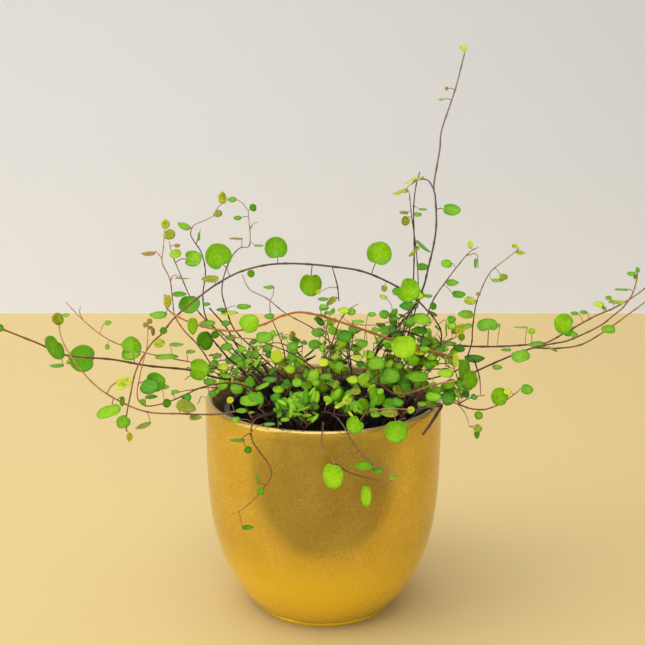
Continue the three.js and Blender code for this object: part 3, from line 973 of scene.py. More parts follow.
@dataclass
class Runner:
    """One stem of the vine, from its root in the mix to its tip, with its side twigs and leaves.

    A place is (x, y, height above the rim). A twig starts on its runner, at the point nearest to its
    first place. A leaf is (x, y, height, width, lean, toward): the middle of its blade, how far it leans
    from facing the front, in degrees, and the way it leans, as an angle from +X up towards +Z. Its age,
    its length over its width, and the way it points, as such an angle, may follow.
    """

    name: str
    thickness: float
    bark: Bark
    route: list[Place]
    twigs: list[list[Place]] = field(default_factory=list)
    leaves: list[tuple[float, ...]] = field(default_factory=list)
    in_frame: bool = True
    girth: float = 1.0  # how thick it looks beside its CAD solid
    root_girth: float = 1.0  # the same near the root, on top of girth
    youth: float = 1.0  # how young its bark is at the tip, as a share of its finish

    def __post_init__(self) -> None:
        """Draws the main line and the twigs."""
        self.main = smooth_route([(x, y, h + RIM_LEVEL) for x, y, h in self.route])
        self.side_lines = []
        for twig in self.twigs:
            places = [Vector((x, y, h + RIM_LEVEL)) for x, y, h in twig]
            places[0] = min(self.main, key=lambda p: (p - places[0]).length)
            self.side_lines.append(smooth_route(places))
        self.samples = [*self.main, *(p for line in self.side_lines for p in line)]

    def nearest(self, place: Vector) -> Vector:
        """Returns the runner's point nearest to a place."""
        return min(self.samples, key=lambda p: (p - place).length)

    def radii(self, line: Sequence[Vector], thick: float, rng: random.Random) -> Path:
        """Gives a line its thickness, with a swollen node every so often.

        Args:
            line: the samples.
            thick: the stem's thickness at the root.
            rng: the source of its small irregularities.

        Returns:
            The path to sweep.
        """
        path = []
        since = 0.0
        gap = rng.uniform(*NODE_GAPS)
        for i, place in enumerate(line):
            t = i / (len(line) - 1)
            root = self.root_girth + (1 - self.root_girth) * min(1.0, t / 0.4)
            radius = 0.44 * thick * (1 - 0.45 * t) * self.girth * root
            if i:
                since += (place - line[i - 1]).length
            if since > gap:
                radius = radius * 1.25 + 0.05
                since = 0.0
                gap = rng.uniform(*NODE_GAPS)
            path.append((place, radius))
        return path

    def build_stem(self) -> bpy.types.Object:
        """Sweeps the stem and its twigs.

        Returns:
            The piece that stands for the runner's CAD node.
        """
        rng = random.Random(self.name)
        paths = [self.radii(self.main, self.thickness, rng)]
        paths += [self.radii(line, self.thickness * 0.75, rng) for line in self.side_lines]
        bm = sweep(paths)
        tree = kdtree.KDTree(len(self.main))
        for i, place in enumerate(self.main):
            tree.insert(place, i)
        tree.balance()
        ages = bm.verts.layers.float.new("age")
        for vert in bm.verts:
            vert[ages] = self.youth * tree.find(vert.co)[1] / len(self.main)
        replaces = [self.name] if self.in_frame else []
        return make_piece(bm, f"stem_{self.name}", [self.bark.finish], replaces)

    def frame_leaf(self, row: tuple[float, ...]) -> Leaf:
        """Makes the leaf that stands for a CAD leaf.

        Args:
            row: its row in leaves.

        Returns:
            The leaf, on the nearest point of the stem.
        """
        x, y, h, width, lean, toward, *rest = row
        age = rest[0] if rest else 0.45
        middle = Vector((x, y, h + RIM_LEVEL))
        lean, toward = math.radians(lean), math.radians(toward)
        facing = Vector(
            (math.sin(lean) * math.cos(toward), -math.cos(lean), math.sin(lean) * math.sin(toward))
        )
        rng = random.Random(f"{self.name}{row}")
        shape = rest[1] if len(rest) > 1 else rng.uniform(0.94, 1.02)
        blade = Blade(
            width,
            width * shape,
            age,
            cup=rng.uniform(0.06, 0.2),
            fold=rng.uniform(0.08, 0.26),
            wave=rng.uniform(0.03, 0.08),
            phase=rng.uniform(0, 6),
            notch=rng.uniform(0.08, 0.2),
            detail=12,
            point=rng.uniform(0.0, 0.06),
        )
        pointing = None
        if len(rest) > 2:
            turn = math.radians(rest[2])
            pointing = Vector((math.cos(turn), 0, math.sin(turn)))
        return Leaf(middle, self.nearest(middle), facing, blade, self.thickness * 0.35, 0.3, pointing)

    def build_frame_leaves(self) -> None:
        """Makes each leaf that the frame has."""
        for i, row in enumerate(self.leaves, 1):
            name = f"{self.name}_leaf_{i}"
            leaf_piece([self.frame_leaf(row)], f"blade_{name}", [name])


@dataclass
class Thicket:
    """The dense middle of the vine: short twigs that rise from the mix, with small alternate leaves."""

    twigs: int = 46
    root_radius: float = 44.0
    sectors: int = 6
    seed: int = 23

    def ceiling(self, x: float, y: float) -> float:
        """Gives how high the mass reaches.

        Args:
            x: place across.
            y: place in depth.

        Returns:
            Height above the rim.
        """
        right = max(0.0, min(1.0, (x - 15) / 40))
        front = max(0.0, min(1.0, (-y - 10) / 45))
        return (19 + 33 * right) * (1 - 0.7 * front)

    def grow(self) -> list[list[Runner]]:
        """Grows the twigs.

        Returns:
            The twigs of each sector, going round the pot.
        """
        rng = random.Random(self.seed)
        sectors: list[list[Runner]] = [[] for _ in range(self.sectors)]
        for i in range(self.twigs):
            turn = 2 * math.pi * (i + rng.random()) / self.twigs
            root = self.root_radius * math.sqrt(rng.uniform(0.05, 1.0))
            x, y = root * math.cos(turn), root * math.sin(turn)
            heading = turn + rng.gauss(0, 0.5)
            reach = rng.uniform(14, 34)
            tip_x, tip_y = x + reach * math.cos(heading), y + reach * math.sin(heading)
            if tip_x < -36 and tip_y < -4:
                continue
            top = self.ceiling(tip_x, tip_y) * rng.uniform(0.35, 1.0)
            sway = rng.uniform(-6, 6)
            side = Vector((-math.sin(heading), math.cos(heading), 0)) * sway
            route = [
                (x, y, -20.0),
                (x + 0.1 * (tip_x - x), y + 0.1 * (tip_y - y), -8.0),
                (x + 0.4 * (tip_x - x) + side.x, y + 0.4 * (tip_y - y) + side.y, 0.55 * top),
                (x + 0.75 * (tip_x - x) + side.x, y + 0.75 * (tip_y - y) + side.y, 0.9 * top),
                (tip_x, tip_y, top),
            ]
            bark = Bark.YOUNG if rng.random() < 0.55 else Bark.OLD
            twig = Runner(f"mound_twig_{i}", rng.uniform(0.7, 1.2), bark, route, in_frame=False)
            sectors[i * self.sectors // self.twigs].append(twig)
        return sectors


@dataclass
class Spray:
    """A bundle of thin shoots that leave the mix together, with small alternate leaves or bare."""

    name: str
    root: tuple[float, float]
    tip: tuple[float, float, float]
    spread: tuple[float, float, float]  # how far the tips stray, each way
    shoots: int
    bark: Bark = Bark.YOUNG
    gap: float = 6.5  # from leaf to leaf; the shoots are bare without it
    size: float = 9.5
    breadth: tuple[float, float] = (0.5, 1.0)

    def grow(self) -> list[Runner]:
        """Grows the shoots.

        Returns:
            The shoots.
        """
        rng = random.Random(self.name)
        shoots = []
        for i in range(self.shoots):
            x, y = (place + rng.uniform(-9, 9) for place in self.root)
            u, v, top = (mean + rng.uniform(-1, 1) * stray for mean, stray in zip(self.tip, self.spread))
            bend = Vector((rng.uniform(-4, 4), rng.uniform(-4, 4), 0))
            over = max(4.0, 0.7 * top) + rng.uniform(0, 4)
            route = [
                (x, y, -19.0),
                (x + 0.08 * (u - x), y + 0.08 * (v - y), -9.0),
                (x + 0.45 * (u - x) + bend.x, y + 0.45 * (v - y) + bend.y, over),
                (x + 0.8 * (u - x) + bend.x, y + 0.8 * (v - y) + bend.y, 0.3 * over + 0.7 * top + 1),
                (u, v, top),
            ]
            shoots.append(
                Runner(f"{self.name}_{i}", rng.uniform(0.7, 1.15), self.bark, route, in_frame=False)
            )
        return shoots

    def build(self) -> None:
        """Makes a piece of the shoots, and one of their leaves."""
        shoots = self.grow()
        stems_piece(shoots, f"spray_stems_{self.name}", self.bark)
        if self.gap:
            rng = random.Random(f"{self.name} leaves")
            leaves = [
                leaf
                for shoot in shoots
                for leaf in alternate_leaves(shoot, rng, self.gap, self.size, 0.35, self.breadth)
            ]
            leaf_piece(leaves, f"spray_leaves_{self.name}")


SPRAYS = [
    Spray("right_bush", (37, -6), (76, -11, 22), (14, 10, 14), 7, gap=9.0, size=12.5, breadth=(0.5, 0.95)),
    Spray("right_rim", (35, -22), (68, -28, 9), (13, 8, 5), 4, gap=8.0, size=11.0),
    Spray("right_crown", (30, 4), (50, 1, 42), (12, 5, 12), 3, gap=8.0, size=12.0, breadth=(0.6, 0.95)),
    Spray("centre_tall", (4, -6), (5, -6, 44), (8, 4, 8), 4, gap=6.0, size=9.0),
    Spray("centre_left", (-8, -12), (-17, -16, 18), (11, 8, 6), 4, gap=6.5, size=10.5),
    Spray("left_rim", (-28, -18), (-55, -24, 9), (10, 10, 6), 3, gap=8.5, size=11.0),
    Spray("left_bare", (-33, -4), (-84, -34, 18), (16, 12, 9), 3, Bark.OLD, gap=0.0),
    Spray("front_slender", (-10, -32), (-12, -58, 2), (32, 6, 5), 9, gap=8.0, size=13.0, breadth=(0.22, 0.4)),
]


@dataclass
class Tangle:
    """Thin bare stems that cross the opening near the rim, under the leaves."""

    stems: int = 16
    seed: int = 41

    def grow(self) -> list[Runner]:
        """Lays the stems.

        Returns:
            The stems, each from the mix to a tip inside or just over the rim.
        """
        rng = random.Random(self.seed)
        stems = []
        for i in range(self.stems):
            turn = 2 * math.pi * (i + rng.random()) / self.stems
            away = turn + math.pi + rng.gauss(0, 0.7)
            start, end = rng.uniform(22, 42), rng.uniform(25, 52)
            x, y = start * math.cos(turn), start * math.sin(turn)
            u, v = end * math.cos(away), end * math.sin(away)
            low, high = rng.uniform(-9, 0), rng.uniform(-3, 14)
            bend = Vector((rng.uniform(-9, 9), rng.uniform(-9, 9), 0))
            route = [
                (x, y, -19.0),
                (x, y, -12.0),
                (x + 0.2 * (u - x) + bend.x, y + 0.2 * (v - y) + bend.y, low),
                (x + 0.6 * (u - x) + bend.x, y + 0.6 * (v - y) + bend.y, 0.4 * low + 0.6 * high + 2),
                (u, v, high),
            ]
            stems.append(Runner(f"tangle_{i}", rng.uniform(0.7, 1.1), Bark.OLD, route, in_frame=False))
        return stems


def alternate_leaves(
    runner: Runner,
    rng: random.Random,
    gap: float,
    size: float,
    start: float = 0.3,
    breadth: tuple[float, float] = (0.5, 1.0),
) -> list[Leaf]:
    """Hangs leaves on both sides of a stem by turns.

    Args:
        runner: the stem.
        rng: the source of each leaf's own size, lie and age.
        gap: how far apart the leaves are.
        size: a full-grown leaf's width.
        start: how far along the stem the first one is, from 0 to 1.
        breadth: the least and the most a leaf's width is, over its length.

    Returns:
        The leaves.
    """
    leaves = []
    line = runner.main
    since = 0.0
    turn = rng.uniform(0, 6.3)
    for i in range(int(len(line) * start), len(line)):
        since += (line[i] - line[i - 1]).length
        if since < gap and i < len(line) - 1:
            continue
        since = rng.uniform(-0.3, 0.3) * gap
        turn += math.pi + rng.uniform(-0.9, 0.9)
        ahead = (line[i] - line[i - 1]).normalized()
        side = ahead.orthogonal().normalized()
        side.rotate(Matrix.Rotation(turn, 3, ahead))
        if side.z < -0.2:
            side.z *= -0.6
        out = Vector((line[i].x, line[i].y, 0)).normalized()
        width = size * rng.uniform(0.5, 1.05) * (1 - 0.35 * i / len(line))
        lift = (side + 0.4 * ahead + Vector((0, 0, 0.5))).normalized()
        middle = line[i] + lift * (width * 0.5 + rng.uniform(2, 4.5))
        if middle.z < RIM_LEVEL + 3 and 55 < math.hypot(middle.x, middle.y) < 73:
            middle.z = RIM_LEVEL + rng.uniform(3, 6)
        sway = Vector((rng.gauss(0, 0.5), rng.gauss(0, 0.5), rng.gauss(0, 0.35)))
        facing = (Vector((-0.1, -0.36, 0.7)) + 0.35 * out + 0.25 * side + sway).normalized()
        high = min(1.0, max(0.0, (middle.z - RIM_LEVEL + 10) / 45))
        age = min(0.62, max(0.03, rng.gauss(0.22 + 0.24 * high, 0.19)))
        if rng.random() < 0.08:
            age = rng.uniform(0.62, 0.92)
        blade = Blade(
            width * rng.uniform(*breadth),
            width * rng.uniform(0.95, 1.15),
            age,
            cup=rng.uniform(0.0, 0.22),
            fold=rng.uniform(0.0, 0.4),
            wave=rng.uniform(0.0, 0.06),
            phase=rng.uniform(0, 6),
            detail=4,
            point=rng.uniform(0.03, 0.16),
        )
        leaves.append(Leaf(middle, line[i], facing, blade, runner.thickness * 0.3, 0.2))
    return leaves


def from_root(x: float, y: float, places: Sequence[Place]) -> list[Place]:
    """Returns the route from a root in the mix, straight up at first, and on through the places."""
    return [(x, y, -23), (x, y, -12), *places]


def stems_piece(twigs: Sequence[Runner], name: str, bark: Bark) -> None:
    """Makes one piece of several short twigs.

    Args:
        twigs: the twigs.
        name: the piece's name.
        bark: its finish.
    """
    rng = random.Random(name)
    bm = sweep([twig.radii(twig.main, twig.thickness, rng) for twig in twigs], 1)
    ages = bm.verts.layers.float.new("age")
    for vert in bm.verts:
        vert[ages] = min(1.0, max(0.0, (vert.co.z - 122) / 70))
    make_piece(bm, name, [bark.finish])


RUNNERS: list[Runner] = [
    Runner("tall_leader", 1.6, Bark.GREY,
           from_root(24, 8, [(30, 8, 19), (37, 8, 30), (45, 7, 41), (51, 6, 48), (58, 3, 63), (61, 2,
            76), (64, 1, 91), (65, 0, 103), (64, -1, 118), (63, -1, 125), (66, 0, 145), (67, 1, 156),
            (74, 2, 178), (79, 4, 198)]),
           twigs=[[(63, -1, 123), (60, 4, 127), (55, 8, 127), (51, 10, 124)]],
           leaves=[(73, -3, 111, 8, 45, 95, 0.36, 1.35)]),
    Runner("paired_upright_left", 1.2, Bark.YOUNG,
           from_root(44, 20, [(47, 20, 26), (53, 20, 53), (54, 18, 81), (53, 16, 108), (54, 15, 122),
            (56, 13, 131)]),
           youth=0.55),
    Runner("paired_upright_right", 1, Bark.YOUNG,
           from_root(41, 26, [(50, 26, 24), (57, 26, 52), (56, 25, 80), (53, 24, 100), (51, 24, 116)]),
           youth=0.55),
    Runner("right_near_upright", 1.1, Bark.YOUNG,
           from_root(45, -7, [(51, -8, 12), (57, -9, 35), (62, -10, 57), (71, -11, 72), (78, -12, 82),
            (83, -12, 88), (88, -12, 91)]),
           twigs=[[(82, -12, 86), (87, -13, 87), (88, -14, 79)]]),
    Runner("right_far_upright", 1.2, Bark.YOUNG,
           from_root(42, 14, [(56, 15, 2), (70, 14, 7), (83, 13, 13), (89, 15, 26), (90, 18, 36), (92,
            21, 50), (96, 23, 61), (101, 24, 70), (110, 26, 77), (118, 28, 83)])),
    Runner("upper_right_runner", 1.6, Bark.OLD,
           from_root(30, 1, [(31, 1, 24), (38, -1, 36), (47, -1, 39), (55, 2, 36), (66, 6, 31), (79, 8,
            28), (101, 9, 27), (122, 6, 29), (132, 3, 31), (145, -1, 40), (158, -5, 49), (167, -8, 54),
            (176, -10, 60), (184, -12, 67), (192, -13, 75)]),
           leaves=[(139, -11, 46, 12, 20, 90, 0.47), (97, 5, 41, 12, 60, 95, 0.36)]),
    Runner("lower_right_runner", 1.5, Bark.OLD,
           from_root(46, -14, [(60, -11, 3), (74, -10, 9), (91, -10, 18), (109, -6, 25), (123, -5, 30),
            (132, -8, 33), (141, -12, 36), (150, -15, 41), (159, -18, 47), (165, -20, 53), (170, -21,
            58), (174, -21, 64), (176, -21, 70), (177, -21, 76)]),
           twigs=[[(123, -5, 30), (135, -10, 31), (148, -17, 35), (160, -24, 45), (172, -28, 56), (183,
            -31, 66), (191, -33, 73)]],
           leaves=[(114, -15, 28, 11, 60, 95, 0.4)]),
    Runner("right_front_runner", 1.3, Bark.OLD,
           from_root(40, -28, [(54, -27, 2), (67, -27, 6), (76, -31, 4), (83, -37, 3), (90, -42, 4),
            (95, -46, 7), (99, -49, 10), (103, -51, 14), (107, -53, 18)]),
           twigs=[[(77, -31, 4), (80, -37, 8), (84, -41, 11), (90, -44, 13)]],
           leaves=[(97, -53, 15, 10, 20, 60, 0.42)]),
    Runner("right_front_drooper", 0.9, Bark.YOUNG,
           from_root(31, -31, [(40, -39, 0), (51, -46, 5), (62, -51, 9), (71, -53, 12), (76, -57, 9),
            (78, -62, 6), (79, -66, 2)])),
    Runner("high_arch", 1.6, Bark.ARCHED,
           from_root(50, 2, [(59, 0, 8), (67, -3, 24), (69, -5, 38), (65, -6, 47), (60, -7, 53), (54,
            -7, 59), (41, -8, 68), (23, -8, 76), (5, -8, 79), (-13, -10, 81), (-30, -12, 81), (-46, -16,
            78), (-59, -20, 72), (-70, -26, 65), (-83, -34, 55), (-89, -42, 48), (-94, -47, 44), (-100,
            -51, 35), (-103, -55, 28), (-105, -59, 18), (-107, -63, 7), (-107, -65, -1)]),
           twigs=[[(5, -8, 79), (8, -9, 68), (9, -10, 59)]],
           leaves=[(-27, -10, 90, 13, 20, 90, 0.36), (-59, -20, 87, 15, 20, 90, 0.4), (-7, -10, 69, 14,
            28, 20, 0.46), (32, -6, 86, 14.5, 20, 90, 0.46), (48, -17, 67, 14, 20, 90, 0.44)],
           root_girth=0.45),
    Runner("low_arch", 1.5, Bark.FLUSHED,
           from_root(43, -21, [(56, -21, 4), (70, -22, 10), (79, -23, 18), (78, -24, 27), (69, -24, 31),
            (55, -24, 35), (37, -26, 41), (10, -28, 51), (-10, -30, 57), (-22, -32, 56), (-34, -34, 51),
            (-49, -36, 48), (-63, -38, 50), (-74, -40, 54), (-83, -41, 59), (-87, -41, 64), (-87, -41,
            70)]),
           leaves=[(-41, -43, 54, 11, 30, 90, 0.5), (45, -36, 39, 14, 20, 90, 0.58), (83, -34, 19, 11,
            35, 0, 0.42)],
           girth=1.35),
    Runner("left_long_runner", 1.7, Bark.OLD,
           from_root(-30, -6, [(-38, -7, 5), (-47, -9, 11), (-62, -16, 15), (-76, -28, 23), (-97, -44,
            30), (-115, -56, 37), (-136, -70, 43), (-148, -80, 52), (-163, -90, 62), (-178, -97, 71),
            (-191, -102, 79)]),
           leaves=[(-131, -54, 37, 15, 20, 90, 0.27), (-140, -80, 50, 14, 72, 33, 0.36), (-106, -42, 41,
            11, 45, 60, 0.42), (-70, -37, 26, 12, 20, 90, 0.42)]),
    Runner("left_thin_runner", 1, Bark.RUSTY,
           from_root(-36, 6, [(-43, 5, 6), (-53, 2, 14), (-72, -8, 21), (-102, -20, 31), (-121, -26,
            40), (-134, -28, 51), (-144, -30, 63)]),
           twigs=[[(-136, -28, 53), (-137, -28, 57), (-136, -28, 60)]]),
    Runner("left_sweeping_runner", 1.3, Bark.TAN,
           from_root(-26, -32, [(-38, -42, 2), (-48, -49, 5), (-60, -54, 5), (-78, -62, 8), (-93, -69,
            11), (-104, -75, 17), (-117, -82, 28), (-126, -86, 40), (-132, -88, 51), (-135, -88, 60),
            (-135, -88, 68)]),
           leaves=[(-105, -83, 32, 10, 68, 95, 0.8), (-112, -87, 17, 13, 73, 105, 0.5)]),
    Runner("left_looping_runner", 1.2, Bark.RUSTY,
           from_root(-22, -20, [(-36, -27, 8), (-50, -34, 17), (-66, -44, 18), (-75, -51, 16), (-82,
            -56, 14), (-88, -60, 13), (-95, -64, 13), (-99, -66, 16), (-100, -67, 22), (-97, -67, 36),
            (-94, -66, 47), (-93, -66, 60)]),
           leaves=[(-91, -62, 26, 11, 40, 60, 0.24)]),
    Runner("left_upright_outer", 1.1, Bark.RUSTY,
           from_root(-40, 14, [(-54, 13, 4), (-67, 12, 15), (-72, 11, 23), (-77, 10, 30), (-83, 9, 37),
            (-88, 8, 46), (-89, 7, 56), (-90, 5, 69), (-94, 4, 79), (-93, 4, 88), (-92, 4, 98)]),
           twigs=[[(-93, 4, 81), (-96, 4, 84), (-98, 4, 86)], [(-90, 5, 67), (-88, 4, 71), (-85, 3,
            72)]]),
    Runner("left_upright_second", 1.1, Bark.YOUNG,
           from_root(-30, 20, [(-42, 19, 8), (-54, 19, 22), (-66, 18, 36), (-76, 17, 48), (-81, 16, 59),
            (-85, 15, 70), (-89, 14, 81), (-91, 14, 90)]),
           leaves=[(-79, 5, 54, 13, 48, 95, 0.28), (-77, 11, 80, 11, 40, 95, 0.44)]),
    Runner("left_upright_third", 1.1, Bark.YOUNG,
           from_root(-24, 28, [(-36, 27, 8), (-50, 27, 22), (-62, 26, 31), (-71, 26, 40), (-73, 26, 54),
            (-71, 25, 69), (-73, 24, 81), (-77, 23, 88), (-79, 22, 93), (-77, 22, 98), (-71, 20, 101),
            (-65, 19, 104)]),
           twigs=[[(-76, 23, 87), (-74, 22, 92), (-73, 21, 96)]]),
    Runner("left_upright_fourth", 1.1, Bark.YOUNG,
           from_root(-12, 34, [(-28, 33, 4), (-44, 33, 20), (-55, 33, 32), (-60, 33, 46), (-62, 33, 56),
            (-60, 33, 67), (-55, 32, 78), (-50, 31, 83), (-45, 30, 84), (-44, 29, 91), (-45, 29, 106)]),
           twigs=[[(-45, 29, 95), (-42, 29, 98), (-39, 29, 99)]]),
    Runner("crossing_twig", 1, Bark.YOUNG,
           from_root(36, 26, [(28, 18, 10), (13, 10, 21), (4, 9, 30), (-7, 8, 39), (-22, 6, 48), (-33,
            2, 58), (-43, 0, 64), (-47, -2, 73)])),
    Runner("thin_inner_upright", 0.9, Bark.YOUNG,
           from_root(-22, -6, [(-22, -6, 16), (-23, -6, 28), (-26, -6, 38), (-30, -6, 48), (-31, -6,
            57), (-29, -6, 62)])),
    Runner("cut_stem", 1.7, Bark.OLD,
           from_root(-20, 4, [(-34, 4, 8), (-43, 2, 18), (-51, 0, 30), (-57, -3, 42), (-66, -6, 54)]),
           youth=0.35),
    Runner("middle_runner", 1.2, Bark.YOUNG,
           from_root(8, -10, [(2, -11, 8), (-3, -13, 17), (-11, -16, 25), (-20, -18, 31), (-26, -20,
            34), (-38, -22, 39), (-48, -24, 41), (-58, -26, 43)])),
    Runner("inner_curl", 1.2, Bark.YOUNG,
           from_root(16, -16, [(2, -17, 12), (1, -16, 26), (6, -14, 38), (9, -13, 47), (14, -12, 54),
            (20, -12, 58)])),
    Runner("front_left_hanger", 1.1, Bark.DARK,
           from_root(-12, -36, [(-24, -48, 2), (-33, -60, 6), (-38, -68, 5), (-38, -75, -3), (-30, -78,
            -14), (-28, -80, -21), (-35, -82, -31), (-43, -84, -38), (-49, -85, -41)]),
           twigs=[[(-37, -73, 0), (-40, -78, 2), (-44, -81, 0)]]),
    Runner("front_right_hanger", 1.1, Bark.YOUNG,
           from_root(2, -38, [(4, -50, 2), (7, -62, 6), (11, -72, 4), (15, -77, -2), (20, -80, -8), (27,
            -81, -14), (34, -82, -18), (40, -82, -21)]),
           leaves=[(5, -85, -19, 12, 25, 180, 0.56, 1.22, -95)]),
    Runner("front_rim_shoot", 1.1, Bark.RUSTY,
           from_root(22, -38, [(22, -52, 3), (25, -62, 9), (31, -67, 12), (40, -66, 12), (48, -61,
            10)]),
           leaves=[(39, -74, 2, 12.5, 25, 80, 0.42), (17, -72, 5, 9.5, 20, 90, 0.44)]),
    Runner("back_left_hanger", 1.3, Bark.OLD,
           from_root(-24, 38, [(-36, 50, 3), (-48, 63, 6), (-58, 75, -2), (-64, 84, -20), (-66, 90,
            -44), (-62, 94, -66)])),
    Runner("back_middle_hanger", 1.3, Bark.OLD,
           from_root(4, 40, [(8, 54, 3), (12, 69, 8), (16, 83, 3), (20, 93, -14), (18, 99, -38), (24,
            103, -60)])),
    Runner("back_right_hanger", 1.3, Bark.OLD,
           from_root(30, 36, [(42, 48, 3), (54, 60, 8), (68, 70, 8), (82, 80, 0), (90, 89, -16), (92,
            96, -36)])),
    Runner("back_arch", 1.2, Bark.YOUNG,
           from_root(-6, 26, [(-10, 42, 6), (-18, 56, 12), (-30, 72, 13), (-42, 88, 5), (-50, 101,
            -10)])),
    Runner("back_left_runner", 1.2, Bark.YOUNG,
           from_root(-40, 24, [(-50, 38, 4), (-60, 50, 7), (-70, 62, 2), (-76, 74, -12), (-76, 84,
            -30)])),
]

EXTRA_RUNNERS: list[Runner] = [
    Runner("second_cut_stem", 1.9, Bark.OLD,
           [(-36, 8, -14), (-40, 8, 0), (-50, 8, 14), (-56, 6, 20), (-62, 4, 28), (-69, 2, 38)],
           in_frame=False,
           youth=0.35),
    Runner("inner_thin_arc", 0.8, Bark.YOUNG,
           [(44, 14, 20), (53, 14, 47), (45, 14, 43), (36, 14, 40), (29, 14, 39), (17, 14, 40), (10, 14,
            45)],
           in_frame=False),
    Runner("rim_cut_stub", 2.4, Bark.OLD,
           [(50, -16, -12), (60, -25, -1), (67, -32, 3.5), (64, -39, 0.5), (60, -46, -3), (55, -53,
            -7)],
           in_frame=False,
           girth=1.15,
           youth=0.4),
    Runner("mound_pink_runner", 1.9, Bark.YOUNG,
           [(24, -26, -16), (30, -34, 12), (31, -35, 17), (40, -35, 11), (49, -35, 11.5), (61, -35, 16),
            (76, -35, 19)],
           in_frame=False),
    Runner("dark_short_drop", 1.1, Bark.OLD,
           [(88, -8, 24), (91, -12, 14), (91, -20, 6)],
           in_frame=False),
    Runner("front_red_y", 1.1, Bark.YOUNG,
           [(28, -34, -16), (26, -44, -8), (32, -46, -5), (40, -46, -2), (46, -45, 0)],
           in_frame=False),
    Runner("front_pale_stem", 0.9, Bark.YOUNG,
           [(-2, -52, -14), (-1, -66, 3), (0, -72, 5), (-1, -76, -4), (4, -81, -10), (6, -83, -13)],
           in_frame=False),
    Runner("front_red_line", 0.8, Bark.YOUNG,
           [(6, -82, -13), (14, -83, -18), (26, -82, -22), (37, -82, -23)],
           in_frame=False),
]

